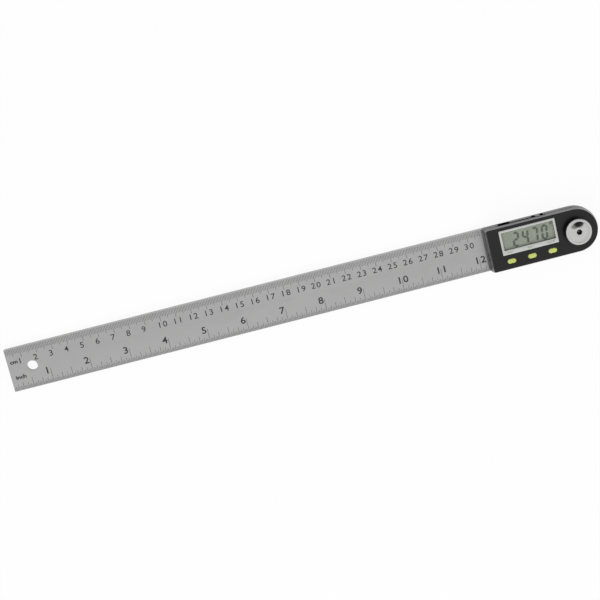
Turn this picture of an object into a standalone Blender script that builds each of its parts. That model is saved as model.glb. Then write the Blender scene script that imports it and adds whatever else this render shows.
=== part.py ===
"""Digital angle finder: two steel rulers hinged at one end, one of them carrying a display housing.

Lengths are in metres. The origin is on the pivot axis, at the back face of the rear ruler.
+X points to the round end of the housing and the ruler tips point to -X. +Z is the side of
the display, and +Y is the side that the battery drawer slides out of.
"""

import math

import bmesh
import bpy

# Clearances
SEAT_GAP = 0.00025
SLIDE_GAP = 0.0003
OVERRUN = 0.001

# Rulers, as wide as the housing that the coin cell needs
BLADE_EXPOSED = 0.3097
BLADE_THICKNESS = 0.0020
BLADE_GAP = 0.0003
BLADE_EDGE_BEVEL = 0.00015
HANG_HOLE_RADIUS = 0.0034
HANG_HOLE_TO_TIP = 0.0150

# Lock knob and its thrust washer
KNOB_RADIUS = 0.0082
KNOB_COLLAR_RADIUS = 0.0064
KNOB_COLLAR_HEIGHT = 0.0032
KNOB_DISC_THICKNESS = 0.0024
KNOB_EDGE_ROUND = 0.0004
KNOB_RIM_WIDTH = 0.0012
KNOB_CROWN_RISE = 0.0010
KNOB_HUB_RADIUS = 0.0030
KNOB_HUB_PROUD = 0.0002
KNOB_SOCKET_RADIUS = 0.0018
KNOB_SOCKET_DEPTH = 0.0026
THRUST_WASHER_RADIUS = 0.0070
THRUST_WASHER_THICKNESS = 0.0007
THRUST_WASHER_PROUD = 0.0002

# Display: frame, window, liquid-crystal panel and its rubber connector
BEZEL_LENGTH = 0.0363
BEZEL_TO_LOWER_FACE_EDGE = 0.00915
BEZEL_THICKNESS = 0.0006
BEZEL_SIDE_BORDER = 0.0014
BEZEL_TOP_BORDER = 0.00145
BEZEL_BOTTOM_BORDER = 0.0030
BEZEL_CORNER_RADIUS = 0.0004
BEZEL_TO_FACE_EDGE = 0.00195
KNOB_TO_BEZEL = 0.00415
WINDOW_LAP = 0.0005
WINDOW_THICKNESS = 0.0008
PANEL_BORDER = 0.0008
PANEL_THICKNESS = 0.00085
CONNECTOR_THICKNESS = 0.00045
CONNECTOR_WIDTH = 0.0018

# Buttons and the rubber pad that returns them
BUTTON_LENGTH = 0.0055
BUTTON_WIDTH = 0.0029
BUTTON_ROW_SHORTER = 0.0097
BUTTON_ROW_SHIFT = 0.00025
BUTTON_TO_FACE_EDGE = 0.00488
BUTTON_PROUD = 0.0007
BUTTON_CROWN_BEVEL = 0.0003
BUTTON_FLANGE_LIP = 0.0006
BUTTON_FLANGE_THICKNESS = 0.00045
BUTTON_TRAVEL = 0.0005
PAD_SHEET_THICKNESS = 0.00025
PAD_MARGIN = 0.0010

# Housing: a lower tub on the front ruler and a cover with the face
HEAD_OVERHANG = 0.0008
HEAD_CORNER_RADIUS = 0.0024
HEAD_CORNER_LEAST = 0.0004
HEAD_CORNER_SHRINK_SHARE = 1.5
BEZEL_TO_HEAD_END = 0.00885
TUB_WALL = 0.0015
TUB_FLOOR = 0.0008
TUB_END_DRAFT = 0.0005
TUB_RIM_RISE = 0.00045
COVER_SIDE_WALL = 0.0010
COVER_FACE_WALL = 0.0015
COVER_SIDE_DRAFT = 0.00107
COVER_END_DRAFT = 0.0009
COVER_EDGE_ROUND = 0.00035
PARTING_GAP = 0.00025
POST_RADIUS = 0.0020
POST_TO_WALL = 0.00115
POST_TO_PANEL = 0.0007
COVER_HUB_WALL = 0.0033

# Circuit board, its chip and the encoder's rotor
BOARD_THICKNESS = 0.0010
CHIP_LENGTH = 0.0042
CHIP_WIDTH = 0.0060
CHIP_THICKNESS = 0.0006
ROTOR_RADIUS = 0.0095
ROTOR_THICKNESS = 0.0007
ENCODER_GAP = 0.0003
CLIP_RADIUS = 0.0039
CLIP_THICKNESS = 0.00045
CLIP_MOUTH = 0.0024

# Battery drawer, coin cell and contacts
CELL_RADIUS = 0.0100
CELL_THICKNESS = 0.0032
CELL_EDGE_BEVEL = 0.0002
CONTACT_SPACE = 0.00113
CONTACT_SHEET = 0.00025
CONTACT_WIDTH = 0.0050
CONTACT_REACH = 0.0120
CONTACT_FOOT = 0.0024
CONTACT_FOOT_TO_WALL = 0.00126
SLOT_BEHIND_BEZEL_LEFT = 0.0004
SLOT_BEHIND_BEZEL_RIGHT = 0.0043
SLOT_RISE_IN_COVER = 0.0011
DRAWER_FLOOR = 0.0005
DRAWER_FRONT = 0.00175
DRAWER_LIP = 0.0008
DRAWER_RIM = 0.0015
DRAWER_NOTCH_SPARE = 0.0010
NAIL_GROOVE_LENGTH = 0.0076
NAIL_GROOVE_DEPTH = 0.0010
NAIL_GROOVE_TO_LOWER_EDGE = 0.0011
PIP_LENGTH = 0.0021
PIP_PITCH = 0.0052
REBATE_DEPTH = 0.00035
REBATE_HEIGHT = 0.0018

# Pivot
STUD_RADIUS = 0.0030
STUD_NECK_RADIUS = 0.0040
STUD_NECK_FLAT = 0.0032
STUD_SEAT_RADIUS = 0.0025
STUD_SEAT_FLAT = 0.0020
STUD_THREAD_RADIUS = 0.0020
STUD_FLANGE_RADIUS = 0.0070
STUD_FLANGE_THICKNESS = 0.0010
STUD_END_BEVEL = 0.0003
BUSH_WALL = 0.0018
BUSH_FLANGE_LIP = 0.0020
BUSH_FLANGE_THICKNESS = 0.0007
FRICTION_WASHER_BAND = 0.0045
FRICTION_WASHER_THICKNESS = 0.0009

# Screws that hold ruler, tub, board and cover together
SCREW_RADIUS = 0.0009
SCREW_HEAD_RADIUS = 0.0017
SCREW_HEAD_DEPTH = 0.0008
SCREW_SINK = 0.00005
SCREW_TIP_TO_FACE_WALL = 0.0005
SCREW_TIP_TAPER = 0.0004
SCREW_DRIVE_SPAN = 0.0018
SCREW_DRIVE_WIDTH = 0.0005
SCREW_DRIVE_DEPTH = 0.0005

# Facets of round shapes
ROUND_END_STEPS = 32
CORNER_STEPS = 5
HOLE_STEPS = 24
TURNED_STEPS = 48
SCREW_STEPS = 16
CROWN_STEPS = 4
SHARP_ANGLE = math.radians(32)

# Levels, from the table up
REAR_TOP = BLADE_THICKNESS
FRONT_BOTTOM = REAR_TOP + BLADE_GAP
FRONT_TOP = FRONT_BOTTOM + BLADE_THICKNESS
TUB_BOTTOM = FRONT_TOP + SEAT_GAP
TUB_FLOOR_TOP = TUB_BOTTOM + TUB_FLOOR
DRAWER_BOTTOM = FRONT_TOP + SLIDE_GAP
CELL_BOTTOM = DRAWER_BOTTOM + DRAWER_FLOOR + SEAT_GAP
CELL_TOP = CELL_BOTTOM + CELL_THICKNESS
BOARD_BOTTOM = CELL_TOP + CONTACT_SPACE
BOARD_TOP = BOARD_BOTTOM + BOARD_THICKNESS
TUB_TOP = BOARD_BOTTOM + TUB_RIM_RISE
COVER_BOTTOM = TUB_TOP + PARTING_GAP
SLOT_TOP = COVER_BOTTOM + SLOT_RISE_IN_COVER
CONNECTOR_BOTTOM = BOARD_TOP + SEAT_GAP
CONNECTOR_TOP = CONNECTOR_BOTTOM + CONNECTOR_THICKNESS
PANEL_BOTTOM = CONNECTOR_TOP + SEAT_GAP
PANEL_TOP = PANEL_BOTTOM + PANEL_THICKNESS
FACE_UNDERSIDE = PANEL_TOP + SEAT_GAP
FACE_TOP = FACE_UNDERSIDE + COVER_FACE_WALL
WINDOW_TOP = FACE_UNDERSIDE + WINDOW_THICKNESS
BEZEL_BOTTOM = WINDOW_TOP + SEAT_GAP
BEZEL_TOP = BEZEL_BOTTOM + BEZEL_THICKNESS
ROTOR_TOP = BOARD_BOTTOM - ENCODER_GAP
ROTOR_BOTTOM = ROTOR_TOP - ROTOR_THICKNESS
CLIP_BOTTOM = ROTOR_TOP + SEAT_GAP
CLIP_TOP = CLIP_BOTTOM + CLIP_THICKNESS
THRUST_WASHER_TOP = FACE_TOP + THRUST_WASHER_PROUD
THRUST_WASHER_BOTTOM = THRUST_WASHER_TOP - THRUST_WASHER_THICKNESS
KNOB_BOTTOM = THRUST_WASHER_TOP + SEAT_GAP
KNOB_DISC_BOTTOM = KNOB_BOTTOM + KNOB_COLLAR_HEIGHT
KNOB_RIM_TOP = KNOB_DISC_BOTTOM + KNOB_DISC_THICKNESS
KNOB_CROWN_TOP = KNOB_RIM_TOP + KNOB_CROWN_RISE
KNOB_TOP = KNOB_CROWN_TOP + KNOB_HUB_PROUD
STUD_TOP = KNOB_TOP - KNOB_SOCKET_DEPTH

# Places in plan, from the pivot
BEZEL_RIGHT = -(KNOB_RADIUS + KNOB_TO_BEZEL)
BEZEL_LEFT = BEZEL_RIGHT - BEZEL_LENGTH
HEAD_LENGTH = BEZEL_TO_HEAD_END - BEZEL_LEFT
BLADE_LENGTH = BLADE_EXPOSED + HEAD_LENGTH
DRAWER_SIDE_OF_CELL = DRAWER_FRONT + DRAWER_RIM + SEAT_GAP
CONTACT_SIDE_OF_CELL = SEAT_GAP + CONTACT_SHEET + CONTACT_FOOT + CONTACT_FOOT_TO_WALL + TUB_WALL
HEAD_HALF_WIDTH = (DRAWER_SIDE_OF_CELL + 2 * CELL_RADIUS + CONTACT_SIDE_OF_CELL) / 2
BLADE_WIDTH = 2 * (HEAD_HALF_WIDTH - HEAD_OVERHANG)
FACE_HALF_WIDTH = HEAD_HALF_WIDTH - COVER_SIDE_DRAFT
BEZEL_Y_HIGH = FACE_HALF_WIDTH - BEZEL_TO_FACE_EDGE
BEZEL_Y_LOW = BEZEL_TO_LOWER_FACE_EDGE - FACE_HALF_WIDTH
VIEW_LOW = (BEZEL_LEFT + BEZEL_SIDE_BORDER, BEZEL_Y_LOW + BEZEL_BOTTOM_BORDER)
VIEW_HIGH = (BEZEL_RIGHT - BEZEL_SIDE_BORDER, BEZEL_Y_HIGH - BEZEL_TOP_BORDER)
PANEL_LOW = (VIEW_LOW[0] - PANEL_BORDER, VIEW_LOW[1] - PANEL_BORDER)
PANEL_HIGH = (VIEW_HIGH[0] + PANEL_BORDER, VIEW_HIGH[1] + PANEL_BORDER)
BUTTON_Y = BUTTON_TO_FACE_EDGE - FACE_HALF_WIDTH
BUTTON_CENTRE_X = (BEZEL_LEFT + BEZEL_RIGHT) / 2 - BUTTON_ROW_SHIFT
BUTTON_PITCH = (BEZEL_LENGTH - BUTTON_ROW_SHORTER) / 2
SLOT_LEFT = BEZEL_LEFT + SLOT_BEHIND_BEZEL_LEFT
SLOT_RIGHT = BEZEL_RIGHT - SLOT_BEHIND_BEZEL_RIGHT
TUB_INNER_HALF = HEAD_HALF_WIDTH - TUB_WALL
COVER_SIDE_INSET = COVER_SIDE_DRAFT + COVER_SIDE_WALL
COVER_END_INSET = TUB_END_DRAFT + COVER_END_DRAFT + COVER_SIDE_WALL
POST_Y = TUB_INNER_HALF - POST_TO_WALL - POST_RADIUS
POST_LEFT_X = -HEAD_LENGTH + COVER_END_INSET + POST_TO_PANEL + POST_RADIUS
POST_RIGHT_X = PANEL_HIGH[0] + POST_TO_PANEL + POST_RADIUS
POST_PLACES = [(x, y) for x in (POST_LEFT_X, POST_RIGHT_X) for y in (-POST_Y, POST_Y)]
DRAWER_CENTRE_X = (SLOT_LEFT + SLOT_RIGHT) / 2
CELL_Y = HEAD_HALF_WIDTH - DRAWER_SIDE_OF_CELL - CELL_RADIUS
DRAWER_BACK = CELL_Y - CELL_RADIUS - SEAT_GAP - DRAWER_RIM
SCREW_HOLE_RADIUS = SCREW_RADIUS + SEAT_GAP
BUSH_INNER_RADIUS = STUD_RADIUS + SEAT_GAP
BUSH_OUTER_RADIUS = BUSH_INNER_RADIUS + BUSH_WALL
BUSH_FLANGE_RADIUS = BUSH_OUTER_RADIUS + BUSH_FLANGE_LIP
FRICTION_WASHER_INNER = BUSH_OUTER_RADIUS + 2 * SEAT_GAP
FRICTION_WASHER_OUTER = FRICTION_WASHER_INNER + FRICTION_WASHER_BAND
CLIP_GROOVE_RADIUS = STUD_SEAT_FLAT - SEAT_GAP


def clear_scene():
    for item in list(bpy.data.objects):
        bpy.data.objects.remove(item, do_unlink=True)


def make_material(name, colour, roughness, metallic=0.0, alpha=1.0):
    material = bpy.data.materials.new(name)
    material.use_nodes = True
    shader = material.node_tree.nodes["Principled BSDF"]
    shader.inputs["Base Color"].default_value = (*colour, 1.0)
    shader.inputs["Roughness"].default_value = roughness
    shader.inputs["Metallic"].default_value = metallic
    shader.inputs["Alpha"].default_value = alpha
    return material


def arc(centre, radius, start, end, steps):
    """Points on an arc, both ends included, with angles in degrees."""
    points = []
    for step in range(steps + 1):
        angle = math.radians(start + (end - start) * step / steps)
        points.append((centre[0] + radius * math.cos(angle), centre[1] + radius * math.sin(angle)))
    return points


def circle(radius, steps, centre=(0.0, 0.0)):
    return arc(centre, radius, 0, 360, steps)[:-1]


def rectangle(low, high):
    return [low, (high[0], low[1]), high, (low[0], high[1])]


def rounded_rectangle(low, high, radius):
    corners = [
        ((low[0] + radius, low[1] + radius), 180),
        ((high[0] - radius, low[1] + radius), 270),
        ((high[0] - radius, high[1] - radius), 0),
        ((low[0] + radius, high[1] - radius), 90),
    ]
    points = []
    for centre, start in corners:
        points += arc(centre, radius, start, start + 90, CORNER_STEPS)
    return points


def oval(length, width):
    """A bar with round ends, along X and centred on the origin."""
    reach = (length - width) / 2
    right = arc((reach, 0.0), width / 2, -90, 90, HOLE_STEPS // 2)
    left = arc((-reach, 0.0), width / 2, 90, 270, HOLE_STEPS // 2)
    return right + left


def flatted_circle(radius, flat):
    """A circle with two flats at x = -flat and x = +flat."""
    edge = math.degrees(math.acos(flat / radius))
    top = arc((0.0, 0.0), radius, edge, 180 - edge, HOLE_STEPS // 2)
    bottom = arc((0.0, 0.0), radius, 180 + edge, 360 - edge, HOLE_STEPS // 2)
    return top + bottom


def head_outline(side_inset, end_inset):
    """The housing in plan: square at the ruler's side with small corners, round at the pivot."""
    half = HEAD_HALF_WIDTH - side_inset
    left = end_inset - HEAD_LENGTH
    radius = max(HEAD_CORNER_RADIUS - HEAD_CORNER_SHRINK_SHARE * side_inset, HEAD_CORNER_LEAST)
    points = arc((0.0, 0.0), half, -90, 90, ROUND_END_STEPS)
    points += arc((left + radius, half - radius), radius, 90, 180, CORNER_STEPS)
    points += arc((left + radius, radius - half), radius, 180, 270, CORNER_STEPS)
    return points


def blade_outline():
    half = BLADE_WIDTH / 2
    return arc((0.0, 0.0), half, -90, 90, ROUND_END_STEPS) + [(-BLADE_LENGTH, half), (-BLADE_LENGTH, -half)]


def add_prism(bm, outline, low, high, top_outline=None):
    """A closed prism between two levels; a second outline of as many points makes it taper."""
    lower = [bm.verts.new((x, y, low)) for x, y in outline]
    upper = [bm.verts.new((x, y, high)) for x, y in top_outline or outline]
    bm.faces.new(reversed(lower))
    bm.faces.new(upper)
    count = len(lower)
    for index in range(count):
        after = (index + 1) % count
        bm.faces.new((lower[index], lower[after], upper[after], upper[index]))


def add_turned(bm, profile, steps=TURNED_STEPS, centre=(0.0, 0.0)):
    """A closed body turned about Z from (radius, height) points; a radius of zero closes the end."""
    rings = []
    for radius, height in profile:
        if radius == 0:
            rings.append([bm.verts.new((centre[0], centre[1], height))])
        else:
            rings.append([bm.verts.new((x, y, height)) for x, y in circle(radius, steps, centre)])
    pairs = list(zip(rings, rings[1:]))
    if len(rings[0]) > 1:
        pairs.append((rings[-1], rings[0]))
    for lower, upper in pairs:
        for index in range(steps):
            after = (index + 1) % steps
            ring = [lower[index % len(lower)], lower[after % len(lower)]]
            ring += [upper[after % len(upper)], upper[index % len(upper)]]
            corners = list(dict.fromkeys(ring))
            if len(corners) > 2:
                bm.faces.new(corners)


def add_disc(bm, radius, low, high, steps=HOLE_STEPS, centre=(0.0, 0.0)):
    add_prism(bm, circle(radius, steps, centre), low, high)


def add_profile_along_x(bm, profile, left, right):
    """A closed body of constant (y, z) profile between two values of x."""
    first = [bm.verts.new((left, y, z)) for y, z in profile]
    last = [bm.verts.new((right, y, z)) for y, z in profile]
    bm.faces.new(first)
    bm.faces.new(reversed(last))
    for index in range(len(profile)):
        after = (index + 1) % len(profile)
        bm.faces.new((first[index], last[index], last[after], first[after]))


def add_mesh_object(name, bm, location=(0.0, 0.0, 0.0)):
    bmesh.ops.recalc_face_normals(bm, faces=bm.faces)
    mesh = bpy.data.meshes.new(name)
    bm.to_mesh(mesh)
    bm.free()
    item = bpy.data.objects.new(name, mesh)
    item.location = location
    bpy.context.collection.objects.link(item)
    return item


def make_solid(name, bm, material, parent, location=(0.0, 0.0, 0.0)):
    """A sub-part: its mesh is in the parent's axes, and its origin is at location."""
    item = add_mesh_object(name, bm, location)
    item.data.materials.append(material)
    item.data.shade_smooth()
    item.data.set_sharp_from_angle(angle=SHARP_ANGLE)
    item.parent = parent
    return item


def make_body(name, location=(0.0, 0.0, 0.0)):
    """An empty on the axis of a joint, which the pieces of one rigid body follow."""
    empty = bpy.data.objects.new(name, None)
    empty.location = location
    bpy.context.collection.objects.link(empty)
    return empty


def combine(target, tool_bm, operation="DIFFERENCE"):
    """Cuts the tool's bodies out of the target, or joins them to it."""
    tool = add_mesh_object(f"{target.name}_{operation.lower()}_tool", tool_bm)
    tool.hide_render = True
    tool.display_type = "WIRE"
    tool.parent = target
    modifier = target.modifiers.new(tool.name, "BOOLEAN")
    modifier.operation = operation
    modifier.solver = "EXACT"
    modifier.object = tool


def bevel(target, width, segments=1):
    modifier = target.modifiers.new("edge", "BEVEL")
    modifier.width = width
    modifier.segments = segments
    modifier.limit_method = "ANGLE"
    modifier.angle_limit = SHARP_ANGLE


def cut_hang_hole(blade, low, high):
    tool = bmesh.new()
    centre = (HANG_HOLE_TO_TIP - BLADE_LENGTH, 0.0)
    add_disc(tool, HANG_HOLE_RADIUS, low - OVERRUN, high + OVERRUN, HOLE_STEPS, centre)
    combine(blade, tool)


def build_rear_blade(material, parent):
    bm = bmesh.new()
    add_prism(bm, blade_outline(), 0.0, REAR_TOP)
    blade = make_solid("rear_blade", bm, material, parent)
    bevel(blade, BLADE_EDGE_BEVEL)
    cut_hang_hole(blade, 0.0, REAR_TOP)
    seat = bmesh.new()
    add_disc(seat, STUD_FLANGE_RADIUS + SEAT_GAP, -OVERRUN, STUD_FLANGE_THICKNESS + SEAT_GAP, TURNED_STEPS)
    combine(blade, seat)
    neck = bmesh.new()
    outline = flatted_circle(STUD_NECK_RADIUS + SEAT_GAP, STUD_NECK_FLAT + SEAT_GAP)
    add_prism(neck, outline, -OVERRUN, REAR_TOP + OVERRUN)
    combine(blade, neck)


def build_front_blade(material, parent):
    bm = bmesh.new()
    add_prism(bm, blade_outline(), FRONT_BOTTOM, FRONT_TOP)
    blade = make_solid("front_blade", bm, material, parent)
    bevel(blade, BLADE_EDGE_BEVEL)
    cut_hang_hole(blade, FRONT_BOTTOM, FRONT_TOP)
    bores = bmesh.new()
    add_disc(bores, BUSH_OUTER_RADIUS + SEAT_GAP, FRONT_BOTTOM - OVERRUN, FRONT_TOP + OVERRUN, TURNED_STEPS)
    sink_top = FRONT_BOTTOM + SCREW_SINK + SCREW_HEAD_DEPTH + SEAT_GAP
    for place in POST_PLACES:
        profile = [
            (0.0, FRONT_BOTTOM - OVERRUN),
            (SCREW_HEAD_RADIUS + SEAT_GAP, FRONT_BOTTOM - OVERRUN),
            (SCREW_HEAD_RADIUS + SEAT_GAP, FRONT_BOTTOM + SCREW_SINK + SEAT_GAP),
            (SCREW_HOLE_RADIUS, sink_top),
            (SCREW_HOLE_RADIUS, FRONT_TOP + OVERRUN),
            (0.0, FRONT_TOP + OVERRUN),
        ]
        add_turned(bores, profile, SCREW_STEPS, place)
    combine(blade, bores)
    seat = bmesh.new()
    seat_top = FRONT_BOTTOM + FRICTION_WASHER_THICKNESS + SEAT_GAP
    add_disc(seat, FRICTION_WASHER_OUTER + SEAT_GAP, FRONT_BOTTOM - OVERRUN, seat_top, TURNED_STEPS)
    combine(blade, seat)


def build_pivot_bush(material, parent):
    bm = bmesh.new()
    profile = [
        (BUSH_INNER_RADIUS, FRONT_BOTTOM),
        (BUSH_OUTER_RADIUS, FRONT_BOTTOM),
        (BUSH_OUTER_RADIUS, TUB_BOTTOM),
        (BUSH_FLANGE_RADIUS, TUB_BOTTOM),
        (BUSH_FLANGE_RADIUS, TUB_BOTTOM + BUSH_FLANGE_THICKNESS),
        (BUSH_INNER_RADIUS, TUB_BOTTOM + BUSH_FLANGE_THICKNESS),
    ]
    add_turned(bm, profile)
    make_solid("pivot_bush", bm, material, parent)


def build_washers(nylon, steel, parent):
    bm = bmesh.new()
    top = FRONT_BOTTOM + FRICTION_WASHER_THICKNESS
    profile = [
        (FRICTION_WASHER_INNER, FRONT_BOTTOM),
        (FRICTION_WASHER_OUTER, FRONT_BOTTOM),
        (FRICTION_WASHER_OUTER, top),
        (FRICTION_WASHER_INNER, top),
    ]
    add_turned(bm, profile)
    make_solid("friction_washer", bm, nylon, parent)
    bm = bmesh.new()
    profile = [
        (STUD_THREAD_RADIUS + SEAT_GAP, THRUST_WASHER_BOTTOM),
        (THRUST_WASHER_RADIUS, THRUST_WASHER_BOTTOM),
        (THRUST_WASHER_RADIUS, THRUST_WASHER_TOP),
        (STUD_THREAD_RADIUS + SEAT_GAP, THRUST_WASHER_TOP),
    ]
    add_turned(bm, profile)
    make_solid("thrust_washer", bm, steel, parent)


def build_pivot_stud(material, parent):
    """The flanged stud: keyed in the rear ruler, running in the bush, threaded for the knob."""
    seat_bottom = ROTOR_BOTTOM - SEAT_GAP
    bm = bmesh.new()
    profile = [
        (0.0, 0.0),
        (STUD_FLANGE_RADIUS, 0.0),
        (STUD_FLANGE_RADIUS, STUD_FLANGE_THICKNESS),
        (STUD_RADIUS, STUD_FLANGE_THICKNESS),
        (STUD_RADIUS, seat_bottom),
        (STUD_THREAD_RADIUS, seat_bottom),
        (STUD_THREAD_RADIUS, STUD_TOP - STUD_END_BEVEL),
        (STUD_THREAD_RADIUS - STUD_END_BEVEL, STUD_TOP),
        (0.0, STUD_TOP),
    ]
    add_turned(bm, profile)
    stud = make_solid("pivot_stud", bm, material, parent)
    keys = bmesh.new()
    add_prism(keys, flatted_circle(STUD_NECK_RADIUS, STUD_NECK_FLAT), STUD_FLANGE_THICKNESS / 2, REAR_TOP)
    seat_outline = flatted_circle(STUD_SEAT_RADIUS, STUD_SEAT_FLAT)
    add_prism(keys, seat_outline, seat_bottom - SEAT_GAP, CLIP_TOP + CLIP_THICKNESS)
    combine(stud, keys, "UNION")
    groove = bmesh.new()
    profile = [
        (CLIP_GROOVE_RADIUS, CLIP_BOTTOM - SEAT_GAP),
        (CLIP_RADIUS, CLIP_BOTTOM - SEAT_GAP),
        (CLIP_RADIUS, CLIP_TOP + SEAT_GAP / 2),
        (CLIP_GROOVE_RADIUS, CLIP_TOP + SEAT_GAP / 2),
    ]
    add_turned(groove, profile, HOLE_STEPS)
    combine(stud, groove)


def build_rotor(disc_material, clip_material, parent):
    bm = bmesh.new()
    add_disc(bm, ROTOR_RADIUS, ROTOR_BOTTOM, ROTOR_TOP, TURNED_STEPS)
    rotor = make_solid("encoder_rotor", bm, disc_material, parent)
    key = bmesh.new()
    outline = flatted_circle(STUD_SEAT_RADIUS + SEAT_GAP, STUD_SEAT_FLAT + SEAT_GAP)
    add_prism(key, outline, ROTOR_BOTTOM - OVERRUN, ROTOR_TOP + OVERRUN)
    combine(rotor, key)
    bm = bmesh.new()
    inner = CLIP_GROOVE_RADIUS + SEAT_GAP
    profile = [(inner, CLIP_BOTTOM), (CLIP_RADIUS, CLIP_BOTTOM), (CLIP_RADIUS, CLIP_TOP), (inner, CLIP_TOP)]
    add_turned(bm, profile, HOLE_STEPS)
    clip = make_solid("rotor_clip", bm, clip_material, parent)
    mouth = bmesh.new()
    outline = rectangle((0.0, -CLIP_MOUTH / 2), (CLIP_RADIUS + OVERRUN, CLIP_MOUTH / 2))
    add_prism(mouth, outline, CLIP_BOTTOM - OVERRUN, CLIP_TOP + OVERRUN)
    combine(clip, mouth)


def build_lock_knob(material, parent):
    """A turned knob: a collar under a crowned disc, a bore from below and a hexagon socket."""
    rim_inner = KNOB_RADIUS - KNOB_EDGE_ROUND - KNOB_RIM_WIDTH
    bore = STUD_THREAD_RADIUS + SEAT_GAP
    bore_top = STUD_TOP + SEAT_GAP
    profile = [
        (0.0, bore_top),
        (bore, bore_top),
        (bore, KNOB_BOTTOM),
        (KNOB_COLLAR_RADIUS, KNOB_BOTTOM),
        (KNOB_COLLAR_RADIUS, KNOB_DISC_BOTTOM),
        (KNOB_RADIUS - KNOB_EDGE_ROUND, KNOB_DISC_BOTTOM),
        (KNOB_RADIUS, KNOB_DISC_BOTTOM + KNOB_EDGE_ROUND),
        (KNOB_RADIUS, KNOB_RIM_TOP - KNOB_EDGE_ROUND),
        (KNOB_RADIUS - KNOB_EDGE_ROUND, KNOB_RIM_TOP),
    ]
    for step in range(CROWN_STEPS + 1):
        reach = 1 - step / CROWN_STEPS
        radius = KNOB_HUB_RADIUS + (rim_inner - KNOB_HUB_RADIUS) * reach
        profile.append((radius, KNOB_CROWN_TOP - KNOB_CROWN_RISE * reach * reach))
    profile += [(KNOB_HUB_RADIUS, KNOB_TOP), (0.0, KNOB_TOP)]
    bm = bmesh.new()
    add_turned(bm, profile)
    knob = make_solid("lock_knob", bm, material, parent)
    socket = bmesh.new()
    add_prism(socket, circle(KNOB_SOCKET_RADIUS, 6), bore_top - OVERRUN, KNOB_TOP + OVERRUN)
    combine(knob, socket)


def build_tub(material, parent):
    bm = bmesh.new()
    add_prism(bm, head_outline(0.0, 0.0), TUB_BOTTOM, TUB_TOP, head_outline(0.0, TUB_END_DRAFT))
    tub = make_solid("housing_tub", bm, material, parent)
    hollow = bmesh.new()
    add_prism(hollow, head_outline(TUB_WALL, TUB_WALL + TUB_END_DRAFT), TUB_FLOOR_TOP, TUB_TOP + OVERRUN)
    combine(tub, hollow)
    posts = bmesh.new()
    for place in POST_PLACES:
        add_disc(posts, POST_RADIUS, TUB_BOTTOM + TUB_FLOOR / 2, BOARD_BOTTOM - SEAT_GAP, HOLE_STEPS, place)
    combine(tub, posts, "UNION")
    holes = bmesh.new()
    for place in POST_PLACES:
        add_disc(holes, SCREW_HOLE_RADIUS, TUB_BOTTOM - OVERRUN, BOARD_BOTTOM, SCREW_STEPS, place)
    add_disc(holes, BUSH_FLANGE_RADIUS + SEAT_GAP, TUB_BOTTOM - OVERRUN, TUB_TOP, TURNED_STEPS)
    low = (SLOT_LEFT, DRAWER_BACK - SLIDE_GAP)
    high = (SLOT_RIGHT, HEAD_HALF_WIDTH + OVERRUN)
    add_prism(holes, rectangle(low, high), TUB_BOTTOM - OVERRUN, TUB_TOP + OVERRUN)
    combine(tub, holes)


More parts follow.
